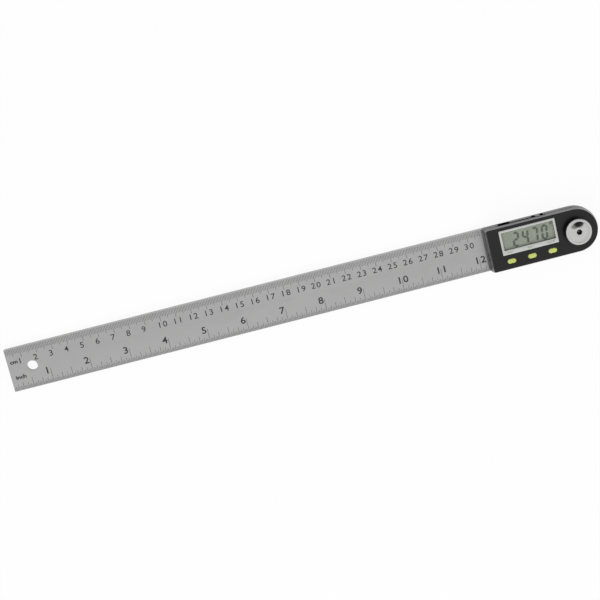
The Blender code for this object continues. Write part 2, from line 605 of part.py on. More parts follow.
def build_cover(material, parent):
    bm = bmesh.new()
    lower = head_outline(0.0, TUB_END_DRAFT)
    upper = head_outline(COVER_SIDE_DRAFT, TUB_END_DRAFT + COVER_END_DRAFT)
    add_prism(bm, lower, COVER_BOTTOM, FACE_TOP, upper)
    cover = make_solid("housing_cover", bm, material, parent)
    bevel(cover, COVER_EDGE_ROUND, 2)
    hollow = bmesh.new()
    add_prism(hollow, head_outline(COVER_SIDE_INSET, COVER_END_INSET), COVER_BOTTOM - OVERRUN, FACE_UNDERSIDE)
    combine(cover, hollow)
    bosses = bmesh.new()
    boss_bottom = BOARD_TOP + SEAT_GAP
    boss_top = FACE_UNDERSIDE + COVER_FACE_WALL / 4
    for place in POST_PLACES:
        add_disc(bosses, POST_RADIUS, boss_bottom, boss_top, HOLE_STEPS, place)
    add_disc(bosses, STUD_THREAD_RADIUS + COVER_HUB_WALL, boss_bottom, boss_top, TURNED_STEPS)
    combine(cover, bosses, "UNION")
    holes = bmesh.new()
    for place in POST_PLACES:
        hole_top = FACE_UNDERSIDE - SCREW_TIP_TO_FACE_WALL + SEAT_GAP
        add_disc(holes, SCREW_HOLE_RADIUS, boss_bottom - OVERRUN, hole_top, SCREW_STEPS, place)
    hub_hole = STUD_SEAT_RADIUS + SEAT_GAP
    add_disc(holes, hub_hole, boss_bottom - OVERRUN, FACE_TOP + OVERRUN, HOLE_STEPS)
    window_gap = WINDOW_LAP + SEAT_GAP
    low = (VIEW_LOW[0] - window_gap, VIEW_LOW[1] - window_gap)
    high = (VIEW_HIGH[0] + window_gap, VIEW_HIGH[1] + window_gap)
    add_prism(holes, rectangle(low, high), FACE_UNDERSIDE - OVERRUN, FACE_TOP + OVERRUN)
    window = oval(BUTTON_LENGTH + 2 * SEAT_GAP, BUTTON_WIDTH + 2 * SEAT_GAP)
    for x in button_places():
        outline = [(x + u, BUTTON_Y + v) for u, v in window]
        add_prism(holes, outline, FACE_UNDERSIDE - OVERRUN, FACE_TOP + OVERRUN)
    low = (SLOT_LEFT, FACE_HALF_WIDTH - COVER_SIDE_WALL - OVERRUN)
    high = (SLOT_RIGHT, HEAD_HALF_WIDTH + OVERRUN)
    add_prism(holes, rectangle(low, high), COVER_BOTTOM - OVERRUN, SLOT_TOP)
    combine(cover, holes)
    pockets = bmesh.new()
    low = (BEZEL_LEFT - SEAT_GAP, BEZEL_Y_LOW - SEAT_GAP)
    high = (BEZEL_RIGHT + SEAT_GAP, BEZEL_Y_HIGH + SEAT_GAP)
    outline = rounded_rectangle(low, high, BEZEL_CORNER_RADIUS + SEAT_GAP)
    add_prism(pockets, outline, BEZEL_BOTTOM - SEAT_GAP, FACE_TOP + OVERRUN)
    seat_bottom = THRUST_WASHER_BOTTOM - SEAT_GAP
    add_disc(pockets, THRUST_WASHER_RADIUS + SEAT_GAP, seat_bottom, FACE_TOP + OVERRUN, TURNED_STEPS)
    combine(cover, pockets)


def button_places():
    return [BUTTON_CENTRE_X + step * BUTTON_PITCH for step in (-1, 0, 1)]


def build_display(frame_material, glass, panel_material, rubber, parent):
    bm = bmesh.new()
    low = (BEZEL_LEFT, BEZEL_Y_LOW)
    high = (BEZEL_RIGHT, BEZEL_Y_HIGH)
    add_prism(bm, rounded_rectangle(low, high, BEZEL_CORNER_RADIUS), BEZEL_BOTTOM, BEZEL_TOP)
    frame = make_solid("display_bezel", bm, frame_material, parent)
    opening = bmesh.new()
    add_prism(opening, rectangle(VIEW_LOW, VIEW_HIGH), BEZEL_BOTTOM - OVERRUN, BEZEL_TOP + OVERRUN)
    combine(frame, opening)
    bm = bmesh.new()
    low = (VIEW_LOW[0] - WINDOW_LAP, VIEW_LOW[1] - WINDOW_LAP)
    high = (VIEW_HIGH[0] + WINDOW_LAP, VIEW_HIGH[1] + WINDOW_LAP)
    add_prism(bm, rectangle(low, high), FACE_UNDERSIDE, WINDOW_TOP)
    make_solid("display_window", bm, glass, parent)
    bm = bmesh.new()
    add_prism(bm, rectangle(PANEL_LOW, PANEL_HIGH), PANEL_BOTTOM, PANEL_TOP)
    make_solid("lcd_panel", bm, panel_material, parent)
    bm = bmesh.new()
    high = (PANEL_HIGH[0], PANEL_LOW[1] + CONNECTOR_WIDTH)
    add_prism(bm, rectangle(PANEL_LOW, high), CONNECTOR_BOTTOM, CONNECTOR_TOP)
    make_solid("lcd_connector_strip", bm, rubber, parent)


def build_board(board_material, chip_material, parent):
    bm = bmesh.new()
    outline = head_outline(COVER_SIDE_INSET + SEAT_GAP, COVER_END_INSET + SEAT_GAP)
    add_prism(bm, outline, BOARD_BOTTOM, BOARD_TOP)
    board = make_solid("circuit_board", bm, board_material, parent)
    holes = bmesh.new()
    for place in POST_PLACES:
        add_disc(holes, SCREW_HOLE_RADIUS, BOARD_BOTTOM - OVERRUN, BOARD_TOP + OVERRUN, SCREW_STEPS, place)
    add_disc(holes, CLIP_RADIUS + SLIDE_GAP, BOARD_BOTTOM - OVERRUN, BOARD_TOP + OVERRUN, HOLE_STEPS)
    combine(board, holes)
    bm = bmesh.new()
    low = (POST_LEFT_X - CHIP_LENGTH / 2, -CHIP_WIDTH / 2)
    high = (POST_LEFT_X + CHIP_LENGTH / 2, CHIP_WIDTH / 2)
    chip_top = BOARD_BOTTOM - SEAT_GAP
    add_prism(bm, rectangle(low, high), chip_top - CHIP_THICKNESS, chip_top)
    make_solid("controller_chip", bm, chip_material, parent)


def build_button_pad(material, parent):
    """A rubber sheet on the board with a dome under each button."""
    sheet_bottom = BOARD_TOP + SEAT_GAP
    dome_top = FACE_UNDERSIDE - SEAT_GAP - BUTTON_FLANGE_THICKNESS - BUTTON_TRAVEL - SEAT_GAP / 2
    places = button_places()
    reach = BUTTON_LENGTH / 2 + PAD_MARGIN
    half = BUTTON_WIDTH / 2 + PAD_MARGIN
    bm = bmesh.new()
    outline = rectangle((places[0] - reach, BUTTON_Y - half), (places[-1] + reach, BUTTON_Y + half))
    add_prism(bm, outline, sheet_bottom, sheet_bottom + PAD_SHEET_THICKNESS)
    pad = make_solid("button_pad", bm, material, parent)
    domes = bmesh.new()
    for x in places:
        outline = [(x + u, BUTTON_Y + v) for u, v in oval(BUTTON_LENGTH, BUTTON_WIDTH)]
        add_prism(domes, outline, sheet_bottom + PAD_SHEET_THICKNESS / 2, dome_top)
    combine(pad, domes, "UNION")


def build_buttons(material, root):
    """Oval caps that drop into the face from inside, each held by a wider flange."""
    flange_top = FACE_UNDERSIDE - SEAT_GAP
    for name, x in zip(("left_button", "middle_button", "right_button"), button_places()):
        body = make_body(f"{name}_slide", (x, BUTTON_Y, FACE_TOP))
        body.parent = root
        bm = bmesh.new()
        flange_low = flange_top - BUTTON_FLANGE_THICKNESS - FACE_TOP
        cap_low = flange_low + BUTTON_FLANGE_THICKNESS / 2
        add_prism(bm, oval(BUTTON_LENGTH, BUTTON_WIDTH), cap_low, BUTTON_PROUD)
        cap = make_solid(name, bm, material, body)
        bevel(cap, BUTTON_CROWN_BEVEL, 2)
        flange = bmesh.new()
        outline = oval(BUTTON_LENGTH + 2 * BUTTON_FLANGE_LIP, BUTTON_WIDTH + 2 * BUTTON_FLANGE_LIP)
        add_prism(flange, outline, flange_low, flange_top - FACE_TOP)
        combine(cap, flange, "UNION")


def build_drawer(drawer_material, cell_material, root):
    """A tray that slides out sideways with the coin cell; its front plate closes the slot."""
    body = make_body("battery_drawer_slide", (DRAWER_CENTRE_X, HEAD_HALF_WIDTH, DRAWER_BOTTOM))
    body.parent = root
    half = (SLOT_RIGHT - SLOT_LEFT) / 2 - SLIDE_GAP
    front_inside = -DRAWER_FRONT
    back = DRAWER_BACK - HEAD_HALF_WIDTH
    cell_y = CELL_Y - HEAD_HALF_WIDTH
    front_top = SLOT_TOP - SLIDE_GAP - DRAWER_BOTTOM
    tray_top = CELL_TOP - DRAWER_BOTTOM
    bm = bmesh.new()
    add_prism(bm, rectangle((-half, front_inside), (half, 0.0)), 0.0, front_top)
    drawer = make_solid("battery_drawer", bm, drawer_material, body)
    tray = bmesh.new()
    tray_half = half - DRAWER_LIP
    outline = rectangle((-tray_half, back), (tray_half, front_inside + DRAWER_FRONT / 2))
    add_prism(tray, outline, 0.0, tray_top)
    combine(drawer, tray, "UNION")
    pocket = bmesh.new()
    add_disc(pocket, CELL_RADIUS + SEAT_GAP, DRAWER_FLOOR, tray_top + OVERRUN, TURNED_STEPS, (0.0, cell_y))
    combine(drawer, pocket)
    notches = bmesh.new()
    notch_half = CONTACT_WIDTH / 2 + DRAWER_NOTCH_SPARE
    outline = rectangle((-notch_half, back - OVERRUN), (notch_half, back + DRAWER_RIM + DRAWER_RIM / 2))
    add_prism(notches, outline, DRAWER_FLOOR, tray_top + OVERRUN)
    groove_low = (DRAWER_LIP - half, -NAIL_GROOVE_DEPTH)
    groove_high = (DRAWER_LIP + NAIL_GROOVE_LENGTH - half, OVERRUN)
    mark_levels = (NAIL_GROOVE_TO_LOWER_EDGE, front_top + OVERRUN)
    add_prism(notches, rectangle(groove_low, groove_high), *mark_levels)
    for step in (0, 1):
        right = half - DRAWER_LIP - step * PIP_PITCH
        pip_low = (right - PIP_LENGTH, -NAIL_GROOVE_DEPTH)
        add_prism(notches, rectangle(pip_low, (right, OVERRUN)), *mark_levels)
    combine(drawer, notches)
    rebate = bmesh.new()
    outline = rectangle((groove_high[0] - OVERRUN, -REBATE_DEPTH), (pip_low[0] + OVERRUN, OVERRUN))
    add_prism(rebate, outline, front_top - REBATE_HEIGHT, front_top + OVERRUN)
    combine(drawer, rebate)
    bm = bmesh.new()
    low = CELL_BOTTOM - DRAWER_BOTTOM
    profile = [
        (0.0, low),
        (CELL_RADIUS - CELL_EDGE_BEVEL, low),
        (CELL_RADIUS, low + CELL_EDGE_BEVEL),
        (CELL_RADIUS, tray_top - CELL_EDGE_BEVEL),
        (CELL_RADIUS - CELL_EDGE_BEVEL, tray_top),
        (0.0, tray_top),
    ]
    add_turned(bm, profile)
    make_solid("coin_cell", bm, cell_material, body, (0.0, cell_y, 0.0))


def build_contacts(material, parent):
    """Two sheet springs under the board: one behind the cell's rim, one over its face."""
    left = DRAWER_CENTRE_X - CONTACT_WIDTH / 2
    right = DRAWER_CENTRE_X + CONTACT_WIDTH / 2
    foot_top = BOARD_BOTTOM - SEAT_GAP
    foot_bottom = foot_top - CONTACT_SHEET
    finger_front = CELL_Y - CELL_RADIUS - SEAT_GAP
    finger_back = finger_front - CONTACT_SHEET
    finger_bottom = CELL_BOTTOM + SEAT_GAP
    profile = [
        (finger_back - CONTACT_FOOT, foot_bottom),
        (finger_back, foot_bottom),
        (finger_back, finger_bottom),
        (finger_front, finger_bottom),
        (finger_front, foot_top),
        (finger_back - CONTACT_FOOT, foot_top),
    ]
    bm = bmesh.new()
    add_profile_along_x(bm, profile, left, right)
    make_solid("rim_contact", bm, material, parent)
    tip_bottom = CELL_TOP + SEAT_GAP
    tip_top = tip_bottom + CONTACT_SHEET
    root = CELL_Y + CONTACT_REACH / 2
    tip = CELL_Y - CONTACT_REACH / 2
    profile = [
        (root, foot_bottom),
        (root, foot_top),
        (root - CONTACT_FOOT, foot_top),
        (tip + CONTACT_FOOT, tip_top),
        (tip, tip_top),
        (tip, tip_bottom),
        (tip + CONTACT_FOOT, tip_bottom),
        (root - CONTACT_FOOT, foot_bottom),
    ]
    bm = bmesh.new()
    add_profile_along_x(bm, profile, left, right)
    make_solid("face_contact", bm, material, parent)


def build_screws(material, parent):
    low = FRONT_BOTTOM + SCREW_SINK
    tip = FACE_UNDERSIDE - SCREW_TIP_TO_FACE_WALL
    for number, place in enumerate(POST_PLACES, start=1):
        profile = [
            (0.0, low),
            (SCREW_HEAD_RADIUS, low),
            (SCREW_RADIUS, low + SCREW_HEAD_DEPTH),
            (SCREW_RADIUS, tip - SCREW_TIP_TAPER),
            (SCREW_RADIUS / 2, tip),
            (0.0, tip),
        ]
        bm = bmesh.new()
        add_turned(bm, profile, SCREW_STEPS, place)
        screw = make_solid(f"housing_screw_{number}", bm, material, parent)
        reach = SCREW_DRIVE_SPAN / 2
        half = SCREW_DRIVE_WIDTH / 2
        cross = [(half, -reach), (half, -half), (reach, -half), (reach, half), (half, half), (half, reach)]
        cross += [(-x, -y) for x, y in cross]
        drive = bmesh.new()
        outline = [(place[0] + x, place[1] + y) for x, y in cross]
        add_prism(drive, outline, low - OVERRUN, low + SCREW_DRIVE_DEPTH)
        combine(screw, drive)


def build_angle_finder():
    clear_scene()
    steel = make_material("ruler_steel", (0.38, 0.38, 0.38), 0.38, 1.0)
    black = make_material("housing_black", (0.025, 0.025, 0.028), 0.42)
    silver = make_material("bezel_silver", (0.60, 0.61, 0.60), 0.35, 0.6)
    glass = make_material("window_clear", (0.80, 0.84, 0.78), 0.08, 0.0, 0.35)
    panel = make_material("lcd_grey_green", (0.30, 0.34, 0.25), 0.35)
    rubber = make_material("pad_rubber", (0.08, 0.08, 0.08), 0.7)
    lime = make_material("button_lime", (0.55, 0.66, 0.08), 0.4)
    chrome = make_material("knob_chrome", (0.62, 0.62, 0.62), 0.2, 1.0)
    brass = make_material("bush_brass", (0.70, 0.52, 0.22), 0.35, 1.0)
    nylon = make_material("washer_nylon", (0.75, 0.74, 0.70), 0.55)
    board = make_material("board_green", (0.02, 0.16, 0.06), 0.45)
    chip = make_material("chip_black", (0.02, 0.02, 0.02), 0.5)
    cell = make_material("cell_steel", (0.65, 0.65, 0.66), 0.3, 1.0)
    plated = make_material("contact_nickel", (0.66, 0.64, 0.58), 0.3, 1.0)
    screw = make_material("screw_steel", (0.40, 0.40, 0.42), 0.35, 1.0)

    display_arm = make_body("display_arm")
    rear_arm = make_body("rear_arm")
    rear_arm.parent = display_arm
    knob_axis = make_body("lock_knob_axis")
    knob_axis.parent = rear_arm

    build_front_blade(steel, display_arm)
    build_pivot_bush(brass, display_arm)
    build_washers(nylon, screw, display_arm)
    build_tub(black, display_arm)
    build_cover(black, display_arm)
    build_display(silver, glass, panel, rubber, display_arm)
    build_board(board, chip, display_arm)
    build_button_pad(rubber, display_arm)
    build_contacts(plated, display_arm)
    build_screws(screw, display_arm)
    build_rear_blade(steel, rear_arm)
    build_pivot_stud(screw, rear_arm)
    build_rotor(board, screw, rear_arm)
    build_lock_knob(chrome, knob_axis)
    build_drawer(black, cell, display_arm)
    build_buttons(lime, display_arm)


build_angle_finder()
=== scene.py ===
"""Looks of a digital angle finder: finishes, graduations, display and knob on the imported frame."""

import logging
import math
from collections.abc import Callable, Sequence
from dataclasses import dataclass, field, replace
from enum import Enum

import bmesh
import bpy
from mathutils import Matrix, Vector


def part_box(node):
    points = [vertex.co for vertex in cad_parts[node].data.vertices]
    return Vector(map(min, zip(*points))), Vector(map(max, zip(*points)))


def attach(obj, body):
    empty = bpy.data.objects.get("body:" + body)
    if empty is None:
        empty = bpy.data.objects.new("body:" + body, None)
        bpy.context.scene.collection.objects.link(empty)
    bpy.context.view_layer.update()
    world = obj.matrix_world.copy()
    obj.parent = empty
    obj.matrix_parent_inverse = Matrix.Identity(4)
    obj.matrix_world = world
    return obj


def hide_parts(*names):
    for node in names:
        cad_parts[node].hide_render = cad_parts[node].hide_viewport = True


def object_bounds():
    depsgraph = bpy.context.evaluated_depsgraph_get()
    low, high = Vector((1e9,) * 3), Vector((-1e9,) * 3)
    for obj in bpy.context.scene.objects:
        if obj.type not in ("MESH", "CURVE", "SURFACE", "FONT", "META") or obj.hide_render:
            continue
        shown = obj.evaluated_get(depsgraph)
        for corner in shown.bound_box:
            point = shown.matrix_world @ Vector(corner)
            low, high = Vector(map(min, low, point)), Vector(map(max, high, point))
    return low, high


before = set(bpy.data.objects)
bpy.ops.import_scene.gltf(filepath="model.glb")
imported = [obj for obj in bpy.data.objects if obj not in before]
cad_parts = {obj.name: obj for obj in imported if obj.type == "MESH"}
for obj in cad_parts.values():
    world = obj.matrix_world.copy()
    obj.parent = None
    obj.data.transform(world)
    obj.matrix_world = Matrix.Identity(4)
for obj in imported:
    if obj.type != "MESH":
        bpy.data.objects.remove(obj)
CAD_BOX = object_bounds()
LOG = logging.getLogger("angle_finder")

Point = tuple[float, float]
Colour = tuple[float, float, float]
Section = tuple[Sequence[Point], float]
Patches = tuple[float, float]  # amount and scale of an uneven effect
Given = bpy.types.NodeOutputs
Outputs = dict[str, bpy.types.NodeSocket]

MM = 0.001
INCH = 25.4 * MM
INCH_PARTS = 32
PHOTO_SIDE = 600.0
SENSOR_WIDTH = 36.0
SHARP_ANGLE = math.radians(35)
INK_RELIEF = 0.02 * MM
WEAR_WIDTH = 0.15 * MM
FONT_CAP_SHARE = 0.729


def opaque(colour: Colour) -> tuple[float, float, float, float]:
    """Returns a colour with full alpha, as a shader socket takes it."""
    return (*colour, 1.0)


def arc(centre: Point, radius: float, start: float, end: float, steps: int) -> list[Point]:
    """Lists points on an arc, both ends included.

    Args:
        centre: Middle of the arc.
        radius: Radius in metres.
        start: First angle in degrees.
        end: Last angle in degrees.
        steps: Number of spans.

    Returns:
        The points in order.
    """
    angles = [math.radians(start + (end - start) * step / steps) for step in range(steps + 1)]
    return [(centre[0] + radius * math.cos(a), centre[1] + radius * math.sin(a)) for a in angles]


def circle(radius: float, steps: int, centre: Point = (0.0, 0.0)) -> list[Point]:
    """Lists evenly spaced points on a circle, counter-clockwise from +X.

    Args:
        radius: Radius in metres.
        steps: Number of points.
        centre: Middle of the circle.

    Returns:
        The points in order.
    """
    return arc(centre, radius, 0.0, 360.0, steps)[:-1]


def polar(radius_at: Callable[[float], float], steps: int) -> list[Point]:
    """Lists points about the origin at even angles, counter-clockwise from +X.

    Args:
        radius_at: Gives the radius in metres at an angle in radians.
        steps: Number of points.

    Returns:
        The points in order.
    """
    angles = [2 * math.pi * step / steps for step in range(steps)]
    return [(radius_at(angle) * math.cos(angle), radius_at(angle) * math.sin(angle)) for angle in angles]


def oval(length: float, width: float, centre: Point, steps: int) -> list[Point]:
    """Lists points of a bar with round ends along X.

    Args:
        length: Whole length.
        width: Whole width.
        centre: Middle of the bar.
        steps: Spans of each round end.

    Returns:
        The points in order.
    """
    reach = (length - width) / 2
    right = arc((centre[0] + reach, centre[1]), width / 2, -90.0, 90.0, steps)
    left = arc((centre[0] - reach, centre[1]), width / 2, 90.0, 270.0, steps)
    return right + left


def rounded_rectangle(low: Point, high: Point, radius: float, steps: int = 4) -> list[Point]:
    """Lists points of a rectangle with round corners.

    Args:
        low: Lowest corner.
        high: Highest corner.
        radius: Corner radius.
        steps: Spans of each corner.

    Returns:
        The points in order.
    """
    points: list[Point] = []
    points += arc((low[0] + radius, low[1] + radius), radius, 180.0, 270.0, steps)
    points += arc((high[0] - radius, low[1] + radius), radius, 270.0, 360.0, steps)
    points += arc((high[0] - radius, high[1] - radius), radius, 0.0, 90.0, steps)
    points += arc((low[0] + radius, high[1] - radius), radius, 90.0, 180.0, steps)
    return points


def add_loft(bm: bmesh.types.BMesh, sections: Sequence[Section], ring: bool = False) -> None:
    """Adds a closed body through outlines that have as many points each.

    Args:
        bm: Mesh that takes the body.
        sections: Outlines with their levels, in order along the skin.
        ring: True joins the last outline to the first, False closes both ends with caps.
    """
    rows = [[bm.verts.new((x, y, level)) for x, y in outline] for outline, level in sections]
    pairs = list(zip(rows, rows[1:]))
    if ring:
        pairs.append((rows[-1], rows[0]))
    else:
        bm.faces.new(reversed(rows[0]))
        bm.faces.new(rows[-1])
    for lower, upper in pairs:
        for index, corner in enumerate(lower):
            after = (index + 1) % len(lower)
            bm.faces.new((corner, lower[after], upper[after], upper[index]))


def add_slab(bm: bmesh.types.BMesh, outline: Sequence[Point], low: float, high: float) -> None:
    """Adds a flat closed body of constant outline between two levels."""
    add_loft(bm, [(outline, low), (outline, high)])


def add_bar(bm: bmesh.types.BMesh, low: Point, high: Point, levels: Point) -> None:
    """Adds a rectangular bar between two corners and two levels."""
    add_slab(bm, [low, (high[0], low[1]), high, (low[0], high[1])], *levels)


def add_ring(bm: bmesh.types.BMesh, outer: Sequence[Point], inner: Sequence[Point], levels: Point) -> None:
    """Adds a flat closed ring between two outlines of as many points and two levels."""
    low, high = levels
    add_loft(bm, [(outer, low), (outer, high), (inner, high), (inner, low)], ring=True)


def ink_levels(surface: float) -> Point:
    """Returns the underside and the top of print that lies on a level."""
    return surface - INK_RELIEF, surface + INK_RELIEF


@dataclass(frozen=True)
class Lettering:
    """How printed letters look: their height, width and weight."""

    height: float
    width_share: float = 1.0
    weight: float = 0.0


def add_text(bm: bmesh.types.BMesh, text: str, place: Point, style: Lettering, levels: Point) -> None:
    """Adds letters or digits as thin closed bodies, centred on a place.

    Args:
        bm: Mesh that takes the letters.
        text: The letters.
        place: Middle of the text.
        style: Height of a capital, width against the plain font and spare outline.
        levels: Underside and top of the letters.
    """
    curve = bpy.data.curves.new("lettering", "FONT")
    curve.body = text
    curve.align_x = "CENTER"
    curve.size = style.height / FONT_CAP_SHARE
    curve.offset = style.weight
    curve.extrude = (levels[1] - levels[0]) / 2
    curve.resolution_u = 3
    item = place_object("lettering", curve)
    bpy.context.view_layer.update()
    mesh = bpy.data.meshes.new_from_object(item.evaluated_get(bpy.context.evaluated_depsgraph_get()))
    shift = Vector((place[0], place[1] - style.height / 2, (levels[0] + levels[1]) / 2))
    mesh.transform(Matrix.Translation(shift) @ Matrix.Diagonal((style.width_share, 1.0, 1.0, 1.0)))
    bm.from_mesh(mesh)
    bpy.data.meshes.remove(mesh)
    bpy.data.objects.remove(item)
    bpy.data.curves.remove(curve)


def place_object(name: str, data: bpy.types.ID) -> bpy.types.Object:
    """Makes an object of a mesh, curve, lamp or lens and links it to the scene."""
    item = bpy.data.objects.new(name, data)
    bpy.context.scene.collection.objects.link(item)
    return item


def make_mesh(name: str, bm: bmesh.types.BMesh, material: bpy.types.Material) -> bpy.types.Mesh:
    """Turns a bmesh into a mesh with one finish, and frees the bmesh."""
    mesh = bpy.data.meshes.new(name)
    bm.to_mesh(mesh)
    bm.free()
    mesh.materials.append(material)
    return mesh


def smooth(mesh: bpy.types.Mesh) -> None:
    """Shades a mesh smooth, except over its sharp edges."""
    mesh.shade_smooth()
    mesh.set_sharp_from_angle(angle=SHARP_ANGLE)


def make_piece(
    name: str, bm: bmesh.types.BMesh, material: bpy.types.Material, body: str
) -> bpy.types.Object:
    """Turns a mesh into a shown piece that rides on a body.

    Args:
        name: Name of the piece.
        bm: Its mesh, which is freed.
        material: Its finish.
        body: The rigid body that it rides on.

    Returns:
        The new object.
    """
    bmesh.ops.recalc_face_normals(bm, faces=bm.faces)
    mesh = make_mesh(name, bm, material)
    smooth(mesh)
    item = place_object(name, mesh)
    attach(item, body)
    LOG.info("piece %s: %d faces on %s", name, len(mesh.polygons), body)
    return item


def soften(item: bpy.types.Object, width: float) -> None:
    """Rounds an object's sharp edges with a Bevel modifier of the given width."""
    modifier = item.modifiers.new("soft_edges", "BEVEL")
    modifier.width = width
    modifier.segments = 2
    modifier.limit_method = "ANGLE"
    modifier.angle_limit = SHARP_ANGLE
    modifier.harden_normals = True


def dress_node(name: str, material: bpy.types.Material, edge: float = 0.0) -> None:
    """Gives a carried-over solid its finish and soft edges.

    Args:
        name: The node's name.
        material: Its finish.
        edge: Width of the softened edges, or zero.
    """
    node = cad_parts[name]
    node.data.materials.clear()
    node.data.materials.append(material)
    smooth(node.data)
    if edge > 0:
        soften(node, edge)
    LOG.info("node %s dressed in %s", name, material.name)


class Graph:
    """A short way to add and join the nodes of one shader tree."""

    def __init__(self, tree: bpy.types.NodeTree) -> None:
        """Keeps the tree that the nodes go into."""
        self.tree = tree

    def add(self, kind: str, inputs: dict | None = None, **settings: object) -> bpy.types.Node:
        """Adds a node.

        Args:
            kind: The node's type without its ShaderNode prefix.
            inputs: Values or sockets for its inputs, by name or number.
            settings: Properties of the node.

        Returns:
            The new node.
        """
        node = self.tree.nodes.new(f"ShaderNode{kind}")
        for name, value in settings.items():
            setattr(node, name, value)
        for key, value in (inputs or {}).items():
            self.feed(node.inputs[key], value)
        return node

    def feed(self, socket: bpy.types.NodeSocket, value: object) -> None:
        """Links a socket to an input, or sets the input's own value."""
        if isinstance(value, bpy.types.NodeSocket):
            self.tree.links.new(value, socket)
        else:
            socket.default_value = value

    def math(self, operation: str, first: object, second: object = 0.0) -> bpy.types.NodeSocket:
        """Adds a Math node and returns its result."""
        return self.add("Math", {0: first, 1: second}, operation=operation).outputs[0]

    def ramp(
        self, value: object, low: float, high: float, out_low: float, out_high: float
    ) -> bpy.types.NodeSocket:
        """Maps a range of a value to another range, clamped, and returns the result."""
        inputs = {"Value": value, "From Min": low, "From Max": high, "To Min": out_low, "To Max": out_high}
        return self.add("MapRange", inputs).outputs[0]

    def blend(self, factor: object, first: object, second: object, way: str = "MIX") -> bpy.types.NodeSocket:
        """Mixes two colours by a factor, plainly or in a way of the Mix node, and returns the result."""
        inputs = {"Factor": factor, 6: first, 7: second}
        return self.add("Mix", inputs, data_type="RGBA", blend_type=way).outputs[2]

    def shade(self, colour: object, factor: object) -> bpy.types.NodeSocket:
        """Multiplies a colour by a grey factor and returns the result."""
        grey = self.add("CombineColor", {0: factor, 1: factor, 2: factor}).outputs[0]
        return self.blend(1.0, colour, grey, "MULTIPLY")

    def place(self) -> bpy.types.NodeSocket:
        """Adds texture coordinates and returns the place on the object, in metres."""
        return self.add("TexCoord").outputs["Object"]

    def noise(self, place: object, scale: object, detail: float) -> bpy.types.NodeSocket:
        """Adds a Noise texture at a place and returns its value."""
        return self.add("TexNoise", {"Vector": place, "Scale": scale, "Detail": detail}).outputs[0]

    def centred(self, value: object, share: float = 1.0) -> bpy.types.NodeSocket:
        """Turns a texture's value from 0 to 1 into a swing about zero, times a share."""
        swing = self.math("SUBTRACT", value, 0.5)
        return swing if share == 1.0 else self.math("MULTIPLY", swing, share)

    def vary(self, given: Given, texture: object, rough_share: float) -> Outputs:
        """Lets a colour and a roughness swing with a texture.

        Args:
            given: A group's inputs, with Colour, Roughness and Contrast.
            texture: Value that swings about zero.
            rough_share: Share of the swing that the roughness follows.

        Returns:
            The Colour and Roughness outputs.
        """
        swing = self.math("MULTIPLY", texture, given["Contrast"])
        rough = self.math("ADD", given["Roughness"], self.math("MULTIPLY", swing, rough_share))
        return {"Colour": self.shade(given["Colour"], self.math("ADD", swing, 1.0)), "Roughness": rough}


class Effect(Enum):
    """Surface effects that more than one finish uses."""

    BRUSHED = "brushed_grain"
    TURNED = "turned_rings"
    MOULDED = "moulded_texture"
    WORN = "worn_edges"
    HANDLED = "handled_film"
    FLANKS = "flank_mask"


TEXTURE_OUTPUTS = ("Colour", "Roughness", "Height")
GROUP_SOCKETS: dict[Effect, tuple[tuple[str, ...], tuple[str, ...]]] = {
    Effect.BRUSHED: (("Colour", "Along", "Across", "Contrast", "Roughness"), TEXTURE_OUTPUTS),
    Effect.TURNED: (("Colour", "Rings", "Contrast", "Roughness"), TEXTURE_OUTPUTS),
    Effect.MOULDED: (("Colour", "Scale", "Contrast", "Roughness"), TEXTURE_OUTPUTS),
    Effect.WORN: (("Colour", "Worn Colour", "Amount", "Scale", "Width"), ("Colour",)),
    Effect.HANDLED: (("Colour", "Roughness", "Amount", "Scale"), ("Colour", "Roughness")),
    Effect.FLANKS: (("Amount", "Scale"), ("Mask",)),
}


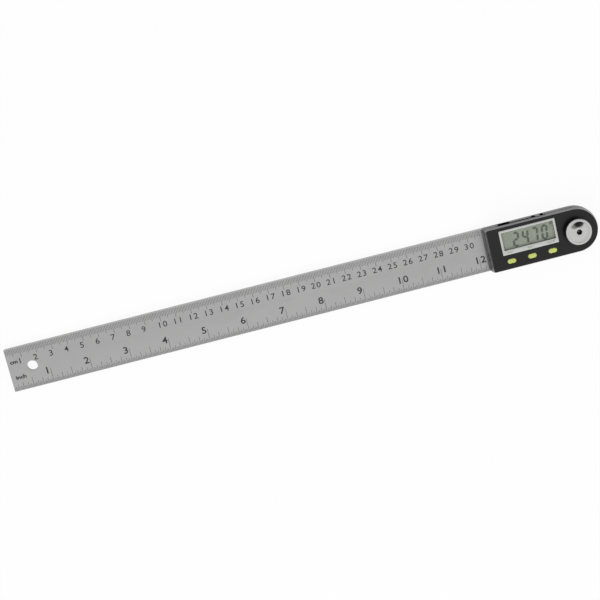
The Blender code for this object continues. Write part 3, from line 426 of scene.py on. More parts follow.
class EffectLibrary:
    """Builds each shared shader group once and places it in materials."""

    def __init__(self) -> None:
        """Builds all groups."""
        builders = {
            Effect.BRUSHED: self.brushed,
            Effect.TURNED: self.turned,
            Effect.MOULDED: self.moulded,
            Effect.WORN: self.worn,
            Effect.HANDLED: self.handled,
            Effect.FLANKS: self.flanks,
        }
        self.groups = {effect: self.build(effect, builder) for effect, builder in builders.items()}

    def build(self, effect: Effect, builder: Callable[[Graph, Given], Outputs]) -> bpy.types.NodeTree:
        """Makes one group with its named sockets.

        Args:
            effect: The effect that the group holds.
            builder: Method that adds the nodes between the group's ends.

        Returns:
            The node group.
        """
        tree = bpy.data.node_groups.new(effect.value, "ShaderNodeTree")
        for names, direction in zip(GROUP_SOCKETS[effect], ("INPUT", "OUTPUT")):
            for name in names:
                kind = "NodeSocketColor" if name.endswith("Colour") else "NodeSocketFloat"
                tree.interface.new_socket(name, in_out=direction, socket_type=kind)
        source = tree.nodes.new("NodeGroupInput")
        target = tree.nodes.new("NodeGroupOutput")
        graph = Graph(tree)
        for name, socket in builder(graph, source.outputs).items():
            graph.feed(target.inputs[name], socket)
        return tree

    def use(self, graph: Graph, effect: Effect, **values: object) -> bpy.types.NodeOutputs:
        """Places a group in a material.

        Args:
            graph: The material's graph.
            effect: The effect to place.
            values: Its inputs, with underscores for spaces.

        Returns:
            The group's output sockets.
        """
        node = graph.add("Group", node_tree=self.groups[effect])
        for name, value in values.items():
            graph.feed(node.inputs[name.replace("_", " ")], value)
        return node.outputs

    def brushed(self, graph: Graph, given: Given) -> Outputs:
        """Fine grinding lines along the object's X axis, with broad cloudy bands."""
        place = graph.place()
        stretch = graph.add("CombineXYZ", {0: given["Along"], 1: given["Across"], 2: given["Across"]})
        lines_place = graph.add("VectorMath", {0: place, 1: stretch.outputs[0]}, operation="MULTIPLY")
        lines = graph.noise(lines_place.outputs[0], 1.0, 5.0)
        clouds = graph.centred(graph.noise(place, 140.0, 3.0), 0.05)
        grains = graph.centred(graph.noise(place, 2600.0, 2.0), 0.5)
        mixed = graph.math("ADD", graph.math("ADD", graph.centred(lines), clouds), grains)
        return {**graph.vary(given, mixed, 0.25), "Height": lines}

    def turned(self, graph: Graph, given: Given) -> Outputs:
        """Concentric lathe marks about the object's Z axis."""
        place = graph.place()
        flat = graph.add("VectorMath", {0: place, 1: (1.0, 1.0, 0.0)}, operation="MULTIPLY")
        radius = graph.add("VectorMath", {0: flat.outputs[0]}, operation="LENGTH").outputs["Value"]
        way = graph.math("MULTIPLY", radius, given["Rings"])
        inputs = {"W": way, "Scale": 1.0, "Detail": 3.0}
        rings = graph.add("TexNoise", inputs, noise_dimensions="1D").outputs[0]
        return {**graph.vary(given, graph.centred(rings), 0.4), "Height": rings}

    def moulded(self, graph: Graph, given: Given) -> Outputs:
        """The fine spark-eroded texture of a moulding, with a faint mottle."""
        place = graph.place()
        pits = graph.noise(place, given["Scale"], 4.0)
        cells = graph.add("TexVoronoi", {"Vector": place, "Scale": given["Scale"]}).outputs[0]
        height = graph.math("ADD", pits, graph.math("MULTIPLY", cells, 0.5))
        return {**graph.vary(given, graph.centred(pits), 0.3), "Height": height}

    def worn(self, graph: Graph, given: Given) -> Outputs:
        """Rubbed edges: a narrow line along each sharp edge shows another colour in patches."""
        place = graph.place()
        flat = graph.add("NewGeometry").outputs["Normal"]
        rounded = graph.add("Bevel", {"Radius": given["Width"]}, samples=4).outputs[0]
        apart = graph.add("VectorMath", {0: flat, 1: rounded}, operation="DOT_PRODUCT").outputs["Value"]
        sharp = graph.ramp(apart, 0.8, 0.98, 1.0, 0.0)
        patchy = graph.ramp(graph.noise(place, given["Scale"], 4.0), 0.42, 0.62, 0.15, 1.0)
        mask = graph.math("MULTIPLY", graph.math("MULTIPLY", sharp, patchy), given["Amount"])
        return {"Colour": graph.blend(mask, given["Colour"], given["Worn Colour"])}

    def handled(self, graph: Graph, given: Given) -> Outputs:
        """A faint film of fingerprints and dust in broad soft patches."""
        place = graph.place()
        smear = graph.ramp(graph.noise(place, given["Scale"], 5.0), 0.4, 0.7, 0.0, 1.0)
        amount = graph.math("MULTIPLY", smear, given["Amount"])
        rough = graph.math("ADD", given["Roughness"], graph.math("MULTIPLY", amount, 0.5))
        kept = graph.math("SUBTRACT", 1.0, graph.math("MULTIPLY", amount, 0.4))
        return {"Colour": graph.shade(given["Colour"], kept), "Roughness": rough}

    def flanks(self, graph: Graph, given: Given) -> Outputs:
        """Side walls, as against flat tops: where the mould's draft leaves a drawn, shinier skin."""
        out = graph.add("TexCoord").outputs
        upward = graph.add("SeparateXYZ", {0: out["Normal"]}).outputs[2]
        steep = graph.ramp(graph.math("ABSOLUTE", upward), 0.35, 0.75, 1.0, 0.0)
        uneven = graph.ramp(graph.noise(out["Object"], given["Scale"], 3.0), 0.3, 0.7, 0.85, 1.0)
        return {"Mask": graph.math("MULTIPLY", graph.math("MULTIPLY", steep, uneven), given["Amount"])}


class Surface:
    """A material in the making: its graph, its shader and the shared effects laid on it."""

    def __init__(self, effects: EffectLibrary, name: str, **values: object) -> None:
        """Makes a material with a Principled shader.

        Args:
            effects: The shared effects.
            name: Name of the material.
            values: Values of the shader's sockets, with underscores for spaces.
        """
        self.effects = effects
        self.material = bpy.data.materials.new(name)
        self.material.use_nodes = True
        self.graph = Graph(self.material.node_tree)
        self.shader = self.material.node_tree.nodes["Principled BSDF"]
        for key, value in values.items():
            self.shader.inputs[key.replace("_", " ")].default_value = value

    def lay(self, effect: Effect, **values: object) -> bpy.types.NodeOutputs:
        """Places a shared effect with its values and returns its outputs."""
        return self.effects.use(self.graph, effect, **values)

    def feed(self, name: str, value: object) -> None:
        """Feeds a socket of the shader."""
        self.graph.feed(self.shader.inputs[name], value)

    def show(self, colour: object, roughness: object) -> None:
        """Feeds the shader's colour and roughness."""
        self.feed("Base Color", colour)
        self.feed("Roughness", roughness)

    def handle(self, colour: object, roughness: object, film: Patches) -> bpy.types.NodeSocket:
        """Shows a colour and a roughness under the film of handling.

        Args:
            colour: The colour under the film.
            roughness: The roughness under the film.
            film: Amount and scale of the film.

        Returns:
            The colour with the film.
        """
        amount, scale = film
        laid = self.lay(Effect.HANDLED, Colour=colour, Roughness=roughness, Amount=amount, Scale=scale)
        self.show(laid["Colour"], laid["Roughness"])
        return laid["Colour"]

    def rub(self, colour: object, worn_colour: Colour, wear: Patches) -> None:
        """Rubs the edges down to another colour.

        Args:
            colour: The colour away from the edges.
            worn_colour: The colour of a rubbed edge.
            wear: Amount and scale of the wear.
        """
        worn = self.lay(
            Effect.WORN, Colour=colour, Worn_Colour=opaque(worn_colour), Amount=wear[0], Scale=wear[1],
            Width=WEAR_WIDTH,
        )
        self.feed("Base Color", worn["Colour"])

    def bump(self, height: object, depth: float) -> None:
        """Feeds a height to the shader's normal, with the depth in metres."""
        bump = self.graph.add("Bump", {"Height": height, "Strength": 1.0, "Distance": depth})
        self.feed("Normal", bump.outputs[0])


@dataclass(frozen=True)
class GroundSteel:
    """Flat-ground stainless steel with lengthwise lines, satin rather than bright."""

    name: str
    colour: Colour = (0.515, 0.515, 0.513)
    worn_colour: Colour = (0.62, 0.62, 0.61)
    roughness: float = 0.32
    along: float = 90.0
    across: float = 6500.0
    contrast: float = 0.3
    line_depth: float = 0.003 * MM
    film: Patches = (0.04, 120.0)
    wear: Patches = (0.5, 300.0)

    def build(self, effects: EffectLibrary) -> bpy.types.Material:
        """Returns the material."""
        surface = Surface(effects, self.name, Metallic=1.0, Anisotropic=0.35)
        grain = surface.lay(
            Effect.BRUSHED, Colour=opaque(self.colour), Along=self.along, Across=self.across,
            Contrast=self.contrast, Roughness=self.roughness,
        )
        colour = surface.handle(grain["Colour"], grain["Roughness"], self.film)
        surface.rub(colour, self.worn_colour, self.wear)
        surface.bump(grain["Height"], self.line_depth)
        return surface.material


@dataclass(frozen=True)
class TurnedMetal:
    """Metal turned on a lathe, plated or plain."""

    name: str
    colour: Colour
    roughness: float = 0.24
    rings: float = 9000.0
    contrast: float = 0.3
    ring_depth: float = 0.006 * MM
    film: Patches = (0.12, 220.0)

    def build(self, effects: EffectLibrary) -> bpy.types.Material:
        """Returns the material."""
        surface = Surface(effects, self.name, Metallic=1.0)
        rings = surface.lay(
            Effect.TURNED, Colour=opaque(self.colour), Rings=self.rings, Contrast=self.contrast,
            Roughness=self.roughness,
        )
        surface.handle(rings["Colour"], rings["Roughness"], self.film)
        surface.bump(rings["Height"], self.ring_depth)
        return surface.material


@dataclass(frozen=True)
class MouldedPlastic:
    """Injection-moulded plastic or rubber with a fine eroded texture."""

    name: str
    colour: Colour
    worn_colour: Colour
    roughness: float = 0.5
    gloss: float = 0.3
    texture_scale: float = 3800.0
    texture_depth: float = 0.012 * MM
    contrast: float = 0.5
    film: Patches = (0.2, 130.0)
    wear: Patches = (0.5, 500.0)
    flank_coat: Patches = (0.0, 900.0)

    def build(self, effects: EffectLibrary) -> bpy.types.Material:
        """Returns the material."""
        surface = Surface(
            effects, self.name, Specular_IOR_Level=self.gloss, Coat_Roughness=0.3, Coat_IOR=2.15
        )
        amount, scale = self.flank_coat
        surface.feed("Coat Weight", surface.lay(Effect.FLANKS, Amount=amount, Scale=scale)["Mask"])
        moulded = surface.lay(
            Effect.MOULDED, Colour=opaque(self.colour), Scale=self.texture_scale, Contrast=self.contrast,
            Roughness=self.roughness,
        )
        colour = surface.handle(moulded["Colour"], moulded["Roughness"], self.film)
        surface.rub(colour, self.worn_colour, self.wear)
        surface.bump(moulded["Height"], self.texture_depth)
        return surface.material


@dataclass(frozen=True)
class SatinSilver:
    """The satin silver of the display frame, a fine matt metallic coat."""

    name: str
    colour: Colour = (0.62, 0.64, 0.61)
    roughness: float = 0.38
    flake_depth: float = 0.002 * MM
    film: Patches = (0.14, 260.0)

    def build(self, effects: EffectLibrary) -> bpy.types.Material:
        """Returns the material."""
        surface = Surface(effects, self.name, Metallic=0.55)
        flakes = surface.lay(
            Effect.MOULDED, Colour=opaque(self.colour), Scale=9000.0, Contrast=0.22, Roughness=self.roughness
        )
        surface.handle(flakes["Colour"], flakes["Roughness"], self.film)
        surface.bump(flakes["Height"], self.flake_depth)
        return surface.material


@dataclass(frozen=True)
class EtchedInk:
    """Paint that fills etched lines, a little thin in places."""

    name: str
    colour: Colour
    thin_colour: Colour
    roughness: float = 0.6
    film: Patches = (0.1, 200.0)

    def build(self, effects: EffectLibrary) -> bpy.types.Material:
        """Returns the material."""
        surface = Surface(effects, self.name, Roughness=self.roughness, Specular_IOR_Level=0.25)
        graph = surface.graph
        patches = graph.noise(graph.place(), 1500.0, 4.0)
        thin = graph.ramp(patches, 0.48, 0.7, 0.0, 0.8)
        colour = graph.blend(thin, opaque(self.colour), opaque(self.thin_colour))
        surface.handle(colour, self.roughness, self.film)
        return surface.material


@dataclass(frozen=True)
class LiquidCrystal:
    """The grey-green reflector behind the display, with a fine cell grain."""

    name: str
    colour: Colour = (0.275, 0.315, 0.235)
    dim_colour: Colour = (0.235, 0.265, 0.205)
    roughness: float = 0.45

    def build(self, effects: EffectLibrary) -> bpy.types.Material:
        """Returns the material."""
        surface = Surface(effects, self.name, Specular_IOR_Level=0.3)
        graph = surface.graph
        clouds = graph.noise(graph.place(), 90.0, 2.0)
        tone = graph.ramp(clouds, 0.35, 0.65, 0.0, 1.0)
        colour = graph.blend(tone, opaque(self.colour), opaque(self.dim_colour))
        grain = surface.lay(
            Effect.MOULDED, Colour=colour, Scale=12000.0, Contrast=0.15, Roughness=self.roughness
        )
        surface.show(grain["Colour"], grain["Roughness"])
        return surface.material


@dataclass(frozen=True)
class ClearWindow:
    """The clear window over the display, thin enough to show what lies behind it."""

    name: str
    colour: Colour = (0.75, 0.80, 0.74)
    alpha: float = 0.06
    roughness: float = 0.06
    film: Patches = (0.08, 160.0)

    def build(self, effects: EffectLibrary) -> bpy.types.Material:
        """Returns the material."""
        surface = Surface(effects, self.name, Alpha=self.alpha, Specular_IOR_Level=0.5)
        surface.handle(opaque(self.colour), self.roughness, self.film)
        return surface.material


@dataclass(frozen=True)
class SolderMask:
    """Green solder mask over copper tracks that run square to each other."""

    name: str
    colour: Colour = (0.015, 0.12, 0.045)
    track_colour: Colour = (0.05, 0.24, 0.09)
    roughness: float = 0.35
    tracks: float = 420.0
    track_depth: float = 0.02 * MM
    film: Patches = (0.15, 200.0)

    def build(self, effects: EffectLibrary) -> bpy.types.Material:
        """Returns the material."""
        surface = Surface(effects, self.name, Specular_IOR_Level=0.5)
        graph = surface.graph
        inputs = {"Vector": graph.place(), "Scale": self.tracks}
        net = graph.add("TexVoronoi", inputs, distance="CHEBYCHEV", feature="F1")
        track = graph.ramp(net.outputs[0], 0.42, 0.46, 0.0, 1.0)
        colour = graph.blend(track, opaque(self.colour), opaque(self.track_colour))
        surface.handle(colour, self.roughness, self.film)
        surface.bump(track, self.track_depth)
        return surface.material


@dataclass
class Finishes:
    """Every finish of the tool, built once."""

    effects: EffectLibrary = field(default_factory=EffectLibrary)

    def __post_init__(self) -> None:
        """Builds the materials."""
        made = self.effects
        self.ruler = GroundSteel("ruler_ground_steel").build(made)
        self.steel = TurnedMetal("turned_steel", (0.42, 0.42, 0.43), 0.3).build(made)
        self.knob = TurnedMetal(
            "knob_chrome", (0.66, 0.66, 0.655), 0.1, rings=3000.0, contrast=0.12, ring_depth=0.0015 * MM
        ).build(made)
        # The socket's near-black colour is painted shade. It stands in for the shadow deep in the knob's hex
        # socket.
        self.socket = TurnedMetal("socket_painted_shade", (0.03, 0.03, 0.032), 0.55).build(made)
        self.brass = TurnedMetal("bush_brass", (0.68, 0.48, 0.2), 0.3).build(made)
        self.nickel = TurnedMetal("nickel_sheet", (0.62, 0.6, 0.54), 0.28).build(made)
        shell = MouldedPlastic(
            "cover_black", (0.004, 0.004, 0.0045), (0.03, 0.03, 0.031), roughness=0.26, gloss=0.42,
            texture_depth=0.003 * MM, contrast=0.3, flank_coat=(1.0, 900.0),
        )
        self.black = replace(shell, name="housing_black", flank_coat=(0.25, 900.0)).build(made)
        self.cover = shell.build(made)
        self.lime = MouldedPlastic(
            "button_lime", (0.56, 0.62, 0.16), (0.66, 0.72, 0.3), roughness=0.42, gloss=0.45,
            texture_scale=2600.0, texture_depth=0.004 * MM, contrast=0.12, wear=(0.3, 500.0),
        ).build(made)
        self.rubber = MouldedPlastic("pad_rubber", (0.05, 0.05, 0.05), (0.08, 0.08, 0.08), 0.75).build(made)
        self.nylon = MouldedPlastic("washer_nylon", (0.7, 0.69, 0.64), (0.75, 0.74, 0.7), 0.5).build(made)
        self.silver = SatinSilver("bezel_silver").build(made)
        self.etch = EtchedInk("etched_black", (0.035, 0.035, 0.036), (0.11, 0.11, 0.11)).build(made)
        self.label = EtchedInk("label_grey", (0.16, 0.17, 0.10), (0.24, 0.25, 0.16)).build(made)
        self.segment = EtchedInk("lcd_segment", (0.032, 0.042, 0.025), (0.048, 0.06, 0.04), 0.4).build(made)
        self.panel = LiquidCrystal("lcd_reflector").build(made)
        self.window = ClearWindow("window_clear").build(made)
        self.board = SolderMask("board_green").build(made)


@dataclass(frozen=True)
class NumberRow:
    """A row of numbers on a ruler: its step, letters, height, shifts along the ruler and unit."""

    step: float
    style: Lettering
    y: float
    single_shift: float
    pair_shift: float
    teen_shift: float
    pair_gap: float
    unit: str
    unit_place: float


@dataclass
class Ruler:
    """One steel ruler's graduations: centimetres along the +Y edge, inches along the -Y edge."""

    node: str
    body: str
    finishes: Finishes
    free_length: float
    hair: float = 0.22 * MM
    edge_margin: float = 0.3 * MM
    millimetre: float = 3.8 * MM
    half_centimetre: float = 5.0 * MM
    centimetre: float = 6.4 * MM
    inch_ticks: tuple[float, ...] = (9.2 * MM, 6.9 * MM, 5.2 * MM, 4.0 * MM, 3.0 * MM, 2.2 * MM)
    centimetre_row: NumberRow = NumberRow(
        step=10 * MM, style=Lettering(3.8 * MM, 1.1, 0.04 * MM), y=5.22 * MM, single_shift=-1.6 * MM,
        pair_shift=0.15 * MM, teen_shift=0.3 * MM, pair_gap=1.75 * MM, unit="cm", unit_place=4.4 * MM,
    )
    inch_row: NumberRow = NumberRow(
        step=INCH, style=Lettering(4.45 * MM, 1.12, 0.1 * MM), y=-5.1 * MM, single_shift=-2.25 * MM,
        pair_shift=0.4 * MM, teen_shift=0.0, pair_gap=2.0 * MM, unit="inch", unit_place=6.3 * MM,
    )
    unit_style: Lettering = Lettering(2.4 * MM, 1.25, 0.13 * MM)

    def __post_init__(self) -> None:
        """Reads the ruler's box from the frame."""
        low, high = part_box(self.node)
        self.tip = low.x
        self.half_width = high.y
        self.levels = ink_levels(high.z)

    def build(self) -> None:
        """Dresses the ruler and adds its two scales."""
        dress_node(self.node, self.finishes.ruler)
        self.make("centimetre_ticks", self.add_centimetre_ticks)
        self.make("centimetre_numbers", lambda bm: self.add_numbers(bm, self.centimetre_row))
        self.make("inch_ticks", self.add_inch_ticks)
        self.make("inch_numbers", lambda bm: self.add_numbers(bm, self.inch_row))

    def make(self, name: str, fill: Callable[[bmesh.types.BMesh], None]) -> None:
        """Makes one piece of a scale.

        Args:
            name: What the piece is.
            fill: Method that adds its marks to a mesh.
        """
        bm = bmesh.new()
        fill(bm)
        make_piece(f"{self.node}_{name}", bm, self.finishes.etch, self.body)

    def add_tick(self, bm: bmesh.types.BMesh, along: float, length: float, side: int) -> None:
        """Adds one line square to an edge.

        Args:
            bm: Mesh that takes the line.
            along: Distance from the tip.
            length: Length of the line.
            side: 1 for the +Y edge and -1 for the -Y edge.
        """
        x = self.tip + along
        near = side * (self.half_width - self.edge_margin)
        far = side * (self.half_width - length)
        low = (x - self.hair / 2, min(near, far))
        high = (x + self.hair / 2, max(near, far))
        add_bar(bm, low, high, self.levels)

    def add_centimetre_ticks(self, bm: bmesh.types.BMesh) -> None:
        """Adds the lines of the metric scale."""
        for count in range(1, int(self.free_length / MM)):
            length = self.millimetre
            if count % 10 == 0:
                length = self.centimetre
            elif count % 5 == 0:
                length = self.half_centimetre
            self.add_tick(bm, count * MM, length, 1)

    def add_inch_ticks(self, bm: bmesh.types.BMesh) -> None:
        """Adds the lines of the inch scale, down to 1/32."""
        for count in range(1, int(self.free_length / INCH * INCH_PARTS)):
            steps = range(len(self.inch_ticks))
            halvings = next(step for step in steps if count % (INCH_PARTS >> step) == 0)
            self.add_tick(bm, count * INCH / INCH_PARTS, self.inch_ticks[halvings], -1)

    def add_numbers(self, bm: bmesh.types.BMesh, row: NumberRow) -> None:
        """Adds a row of numbers, each at its line, and their unit.

        Args:
            bm: Mesh that takes the digits.
            row: How the numbers stand.
        """
        for number in range(1, int(self.free_length / row.step) + 1):
            text = str(number)
            x = self.tip + number * row.step
            if len(text) == 1:
                add_text(bm, text, (x + row.single_shift, row.y), row.style, self.levels)
                continue
            x += row.pair_shift + (row.teen_shift if text[0] == "1" else 0.0)
            for digit, side in zip(text, (-1, 1)):
                add_text(bm, digit, (x + side * row.pair_gap, row.y), row.style, self.levels)
        add_text(bm, row.unit, (self.tip + row.unit_place, row.y), self.unit_style, self.levels)


@dataclass
class Display:
    """The silver frame, the window, the reflector and the digits that it shows."""

    finishes: Finishes
    body: str = "display_arm"
    reading: str = "2470"
    digit_height: float = 9.9 * MM
    digit_width: float = 4.4 * MM
    digit_pitch: float = 6.16 * MM
    first_digit: float = 8.5 * MM
    digit_drop: float = 0.62 * MM
    slant: float = 0.09
    stroke: float = 1.5 * MM
    stroke_gap: float = 0.08 * MM
    point_size: float = 0.8 * MM
    point_corner: float = 0.1 * MM
    point_place: float = 1.5
    ring_place: float = 3.84
    ring_radii: tuple[float, float] = (0.9 * MM, 0.42 * MM)
    mask_corner: float = 0.2 * MM
    frame_edge: float = 0.16 * MM
    frame_edge_share: float = 0.3
    outer_corner: float = 0.45 * MM
    inner_corner: float = 0.25 * MM
    side_border: float = 1.4 * MM
    top_border: float = 1.45 * MM
    bottom_border: float = 3.0 * MM
    label: Lettering = Lettering(1.0 * MM, 1.05)

    SEGMENTS = {"0": "abcdef", "2": "abged", "4": "fgbc", "7": "abc"}

    def build(self) -> None:
        """Builds the frame, its labels and the digits, and dresses the window and the reflector."""
        dress_node("display_window", self.finishes.window)
        dress_node("lcd_panel", self.finishes.panel)
        self.build_frame()
        self.build_mask()
        self.build_digits()
        self.build_labels()

    def build_frame(self) -> None:
        """Builds the frame with rounded outer and inner edges."""
        low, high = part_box("display_bezel")
        first, last = self.view()
        edge, part = self.frame_edge, self.frame_edge_share * self.frame_edge
        profile = [(0.0, low.z), (0.0, high.z - edge), (part, high.z - part), (edge, high.z)]
        sections: list[Section] = []
        for inset, level in profile:
            corners = (low.x + inset, low.y + inset), (high.x - inset, high.y - inset)
            sections.append((rounded_rectangle(*corners, self.outer_corner), level))
        for outset, level in reversed(profile):
            corners = (first[0] - outset, first[1] - outset), (last[0] + outset, last[1] + outset)
            sections.append((rounded_rectangle(*corners, self.inner_corner), level))
        bm = bmesh.new()
        add_loft(bm, sections, ring=True)
        item = make_piece("display_frame", bm, self.finishes.silver, self.body)
        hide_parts("display_bezel")

    def view(self) -> tuple[Point, Point]:
        """Returns the corners of the opening in the frame."""
        low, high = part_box("display_bezel")
        first = (low.x + self.side_border, low.y + self.bottom_border)
        return first, (high.x - self.side_border, high.y - self.top_border)

    def build_mask(self) -> None:
        """Prints the black border of the reflector, which shows past the frame from a slant. It is partly a
        real printed border and partly painted shade for the dark line along the frame's inner edges.
        """
        low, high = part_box("lcd_panel")
        outer = rounded_rectangle((low.x, low.y), (high.x, high.y), self.mask_corner)
        inner = rounded_rectangle(*self.view(), self.mask_corner)
        bm = bmesh.new()
        # Black ring from the opening out to the panel's edge: a printed border, and painted shade under the
        # frame's inner edges.
        add_ring(bm, outer, inner, ink_levels(high.z))
        make_piece("lcd_mask_and_painted_shade", bm, self.finishes.etch, self.body)

    def segment_bars(self) -> dict[str, list[Point]]:
        """Works out the seven bars of a digit in its own upright box.

        Returns:
            The corner points of each bar, by its usual letter.
        """
        width, height, half = self.digit_width, self.digit_height, self.stroke / 2
        gap = self.stroke_gap
        left, right = half, width - half

        def bar(low: float, high: float, at: float) -> list[Point]:
            """A level bar with pointed ends from low to high, at a height."""
            low, high = low + gap, high - gap
            return [
                (low, at), (low + half, at - half), (high - half, at - half),
                (high, at), (high - half, at + half), (low + half, at + half),
            ]

        def upright(low: float, high: float, at: float) -> list[Point]:
            """The same bar stood on end, at a distance from the left."""
            return [(x, y) for y, x in bar(low, high, at)]

        return {
            "a": bar(left, right, height - half), "g": bar(left, right, height / 2),
            "d": bar(left, right, half),
            "f": upright(height / 2, height - half, left), "b": upright(height / 2, height - half, right),
            "e": upright(half, height / 2, left), "c": upright(half, height / 2, right),
        }

    def build_digits(self) -> None:
        """Builds the digits, the point and the degree ring on the reflector."""
        first, last = self.view()
        levels = ink_levels(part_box("lcd_panel")[1].z)
        base_x = first[0] + self.first_digit
        base_y = (first[1] + last[1] - self.digit_height) / 2 - self.digit_drop
        bars = self.segment_bars()
        bm = bmesh.new()
        for place, digit in enumerate(self.reading):
            start = base_x + place * self.digit_pitch - self.digit_width / 2
            for letter in self.SEGMENTS[digit]:
                outline = [(start + x + self.slant * y, base_y + y) for x, y in bars[letter]]
                add_slab(bm, outline, *levels)
        point_x = base_x + self.point_place * self.digit_pitch
        half = self.point_size / 2
        corners = (point_x - half, base_y), (point_x + half, base_y + self.point_size)
        add_slab(bm, rounded_rectangle(*corners, self.point_corner), *levels)
        centre = (base_x + self.ring_place * self.digit_pitch, base_y + self.digit_height)
        add_ring(bm, *(circle(radius, 24, centre) for radius in self.ring_radii), levels)
        make_piece("lcd_digits", bm, self.finishes.segment, self.body)

    def build_labels(self) -> None:
        """Prints the plain names of the three keys on the frame's lower strip."""
        low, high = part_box("display_bezel")
        bm = bmesh.new()
        for name, button in (("HOLD", "left_button"), ("ZERO", "middle_button"), ("ON/OFF", "right_button")):
            first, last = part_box(button)
            place = ((first.x + last.x) / 2, low.y + self.bottom_border / 2)
            add_text(bm, name, place, self.label, ink_levels(high.z))
        make_piece("key_labels", bm, self.finishes.label, self.body)


@dataclass
class Buttons:
    """Three oval caps with soft crowns, each on its own slide."""

    finishes: Finishes
    length: float = 5.5 * MM
    width: float = 2.9 * MM
    crown: float = 0.45 * MM
    flange_lip: float = 0.6 * MM
    flange: float = 0.45 * MM
    steps: int = 12

    def build(self) -> None:
        """Builds the three caps."""
        for name in ("left_button", "middle_button", "right_button"):
            low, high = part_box(name)
            centre = ((low.x + high.x) / 2, (low.y + high.y) / 2)
            top = low.z + self.flange
            sections = [(self.outline(centre, -self.flange_lip), level) for level in (low.z, top)]
            sections.append((self.outline(centre, 0.0), top))
            for step in range(7):
                angle = math.radians(15 * step)
                inset = self.crown * (1 - math.cos(angle))
                level = high.z - self.crown * (1 - math.sin(angle))
                sections.append((self.outline(centre, inset), level))
            bm = bmesh.new()
            add_loft(bm, sections)
            cap = make_piece(f"{name}_cap", bm, self.finishes.lime, name)
            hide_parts(name)

    def outline(self, centre: Point, inset: float) -> list[Point]:
        """Returns the cap's outline, drawn in by an inset."""
        return oval(self.length - 2 * inset, self.width - 2 * inset, centre, self.steps)


@dataclass
class LockKnob:
    """The turned knob: a plain collar, a knurled disc with a flat rim, a crown, a hub and a socket."""

    finishes: Finishes
    steps: int = 288
    flutes: int = 72
    flute_depth: float = 0.12 * MM
    bore: float = 2.25 * MM
    collar: float = 6.4 * MM
    collar_height: float = 3.2 * MM
    disc_thickness: float = 2.4 * MM
    edge: float = 0.4 * MM
    rim: float = 1.2 * MM
    rim_groove: float = 0.08 * MM
    crown_steps: int = 12
    hub: float = 3.0 * MM
    hub_rise: float = 0.2 * MM
    socket_sides: int = 6
    socket_apothem: float = 1.55 * MM
    socket_depth: float = 2.3 * MM
    drill: float = 0.3 * MM

    def build(self) -> None:
        """Builds the knob round its bore, with the socket's faces blackened as painted shade for the deep
        hole.
        """
        low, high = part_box("lock_knob")
        bm = bmesh.new()
        add_loft(bm, self.sections(low.z, high.z, high.x), ring=True)
        knob = make_piece("lock_knob_turned", bm, self.finishes.knob, "lock_knob")
        # The socket's faces get the painted shade finish, which darkens the hole as its shadow would.
        knob.data.materials.append(self.finishes.socket)
        floor = high.z - self.socket_depth - self.rim_groove
        mouth = high.z - 2 * self.rim_groove
        for face in knob.data.polygons:
            middle = face.center
            inside = math.hypot(middle.x, middle.y) < self.hub - self.hub_rise
            if inside and floor < middle.z < mouth:
                face.material_index = 1
        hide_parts("lock_knob")

    def sections(self, low: float, high: float, radius: float) -> list[Section]:
        """Works out the outlines of the knob's skin.

        Args:
            low: Level of the underside.
            high: Level of the hub's top.
            radius: Outer radius.

        Returns:
            The outlines and levels, from the bore out, over the top and back in.
        """
        def plain(size: float, level: float) -> Section:
            """A round outline."""
            return circle(size, self.steps), level

        def fluted_radius(angle: float) -> float:
            """The side's radius at an angle, over its fine flutes."""
            return radius - self.flute_depth * (0.5 - 0.5 * math.cos(self.flutes * angle)) ** 2

        def socket_radius(angle: float) -> float:
            """The socket's radius at an angle, to its flat sides."""
            span = 2 * math.pi / self.socket_sides
            return self.socket_apothem / math.cos(angle % span - span / 2)

        edge, groove = self.edge, self.rim_groove
        disc_low = low + self.collar_height
        rim_top = disc_low + self.disc_thickness
        made = [plain(self.bore, low), plain(self.collar - groove, low), plain(self.collar, low + groove)]
        made += [plain(self.collar, disc_low), plain(radius - edge, disc_low)]
        made.append(plain(radius - edge / 3, disc_low + edge / 3))
        made += [(polar(fluted_radius, self.steps), level) for level in (disc_low + edge, rim_top - edge)]
        for step in range(1, 5):
            angle = math.radians(22.5 * step)
            inset = edge * (1 - math.cos(angle))
            made.append(plain(radius - inset, rim_top - edge * (1 - math.sin(angle))))
        crown_out = radius - edge - self.rim
        made += [plain(crown_out + 2 * groove, rim_top), plain(crown_out + groove, rim_top - groove)]
        made.append(plain(crown_out, rim_top))
        made += self.crown(crown_out, rim_top, high - self.hub_rise)
        made += [plain(self.hub, high - groove), plain(self.hub - groove, high)]
        lip = self.socket_apothem + 4 * groove
        made += [plain(lip, high), plain(lip - groove, high - groove)]
        socket = polar(socket_radius, self.steps)
        floor = high - self.socket_depth
        made += [(socket, high - 3 * groove), (socket, floor), plain(self.drill, floor)]
        made += [plain(self.drill, floor - groove), plain(self.bore, floor - groove)]
        return made

    def crown(self, outer: float, low: float, high: float) -> list[Section]:
        """Works out the outlines of the ball-shaped crown.

        Args:
            outer: Radius where the crown meets the rim.
            low: Level there.
            high: Level where it meets the hub.

        Returns:
            The outlines from the rim to the hub.
        """
        rise = high - low
        ball = (outer * outer - self.hub * self.hub) / (2 * rise)
        made = []
        for step in range(1, self.crown_steps + 1):
            size = outer + (self.hub - outer) * step / self.crown_steps
            made.append((circle(size, self.steps), low + (outer * outer - size * size) / (2 * ball)))
        return made


@dataclass
class Housing:
    """The black tub and cover, the battery drawer and what they hold."""

    finishes: Finishes
    edge: float = 0.09 * MM

    def build(self) -> None:
        """Dresses the housing's solids and everything inside it."""
        made = self.finishes
        dress_node("housing_cover", made.cover, self.edge)
        for name in ("housing_tub", "battery_drawer"):
            dress_node(name, made.black, self.edge)
        for name in ("circuit_board", "encoder_rotor"):
            dress_node(name, made.board)
        for name in ("button_pad", "lcd_connector_strip", "controller_chip"):
            dress_node(name, made.rubber)
        for name in ("rim_contact", "face_contact", "coin_cell"):
            dress_node(name, made.nickel)


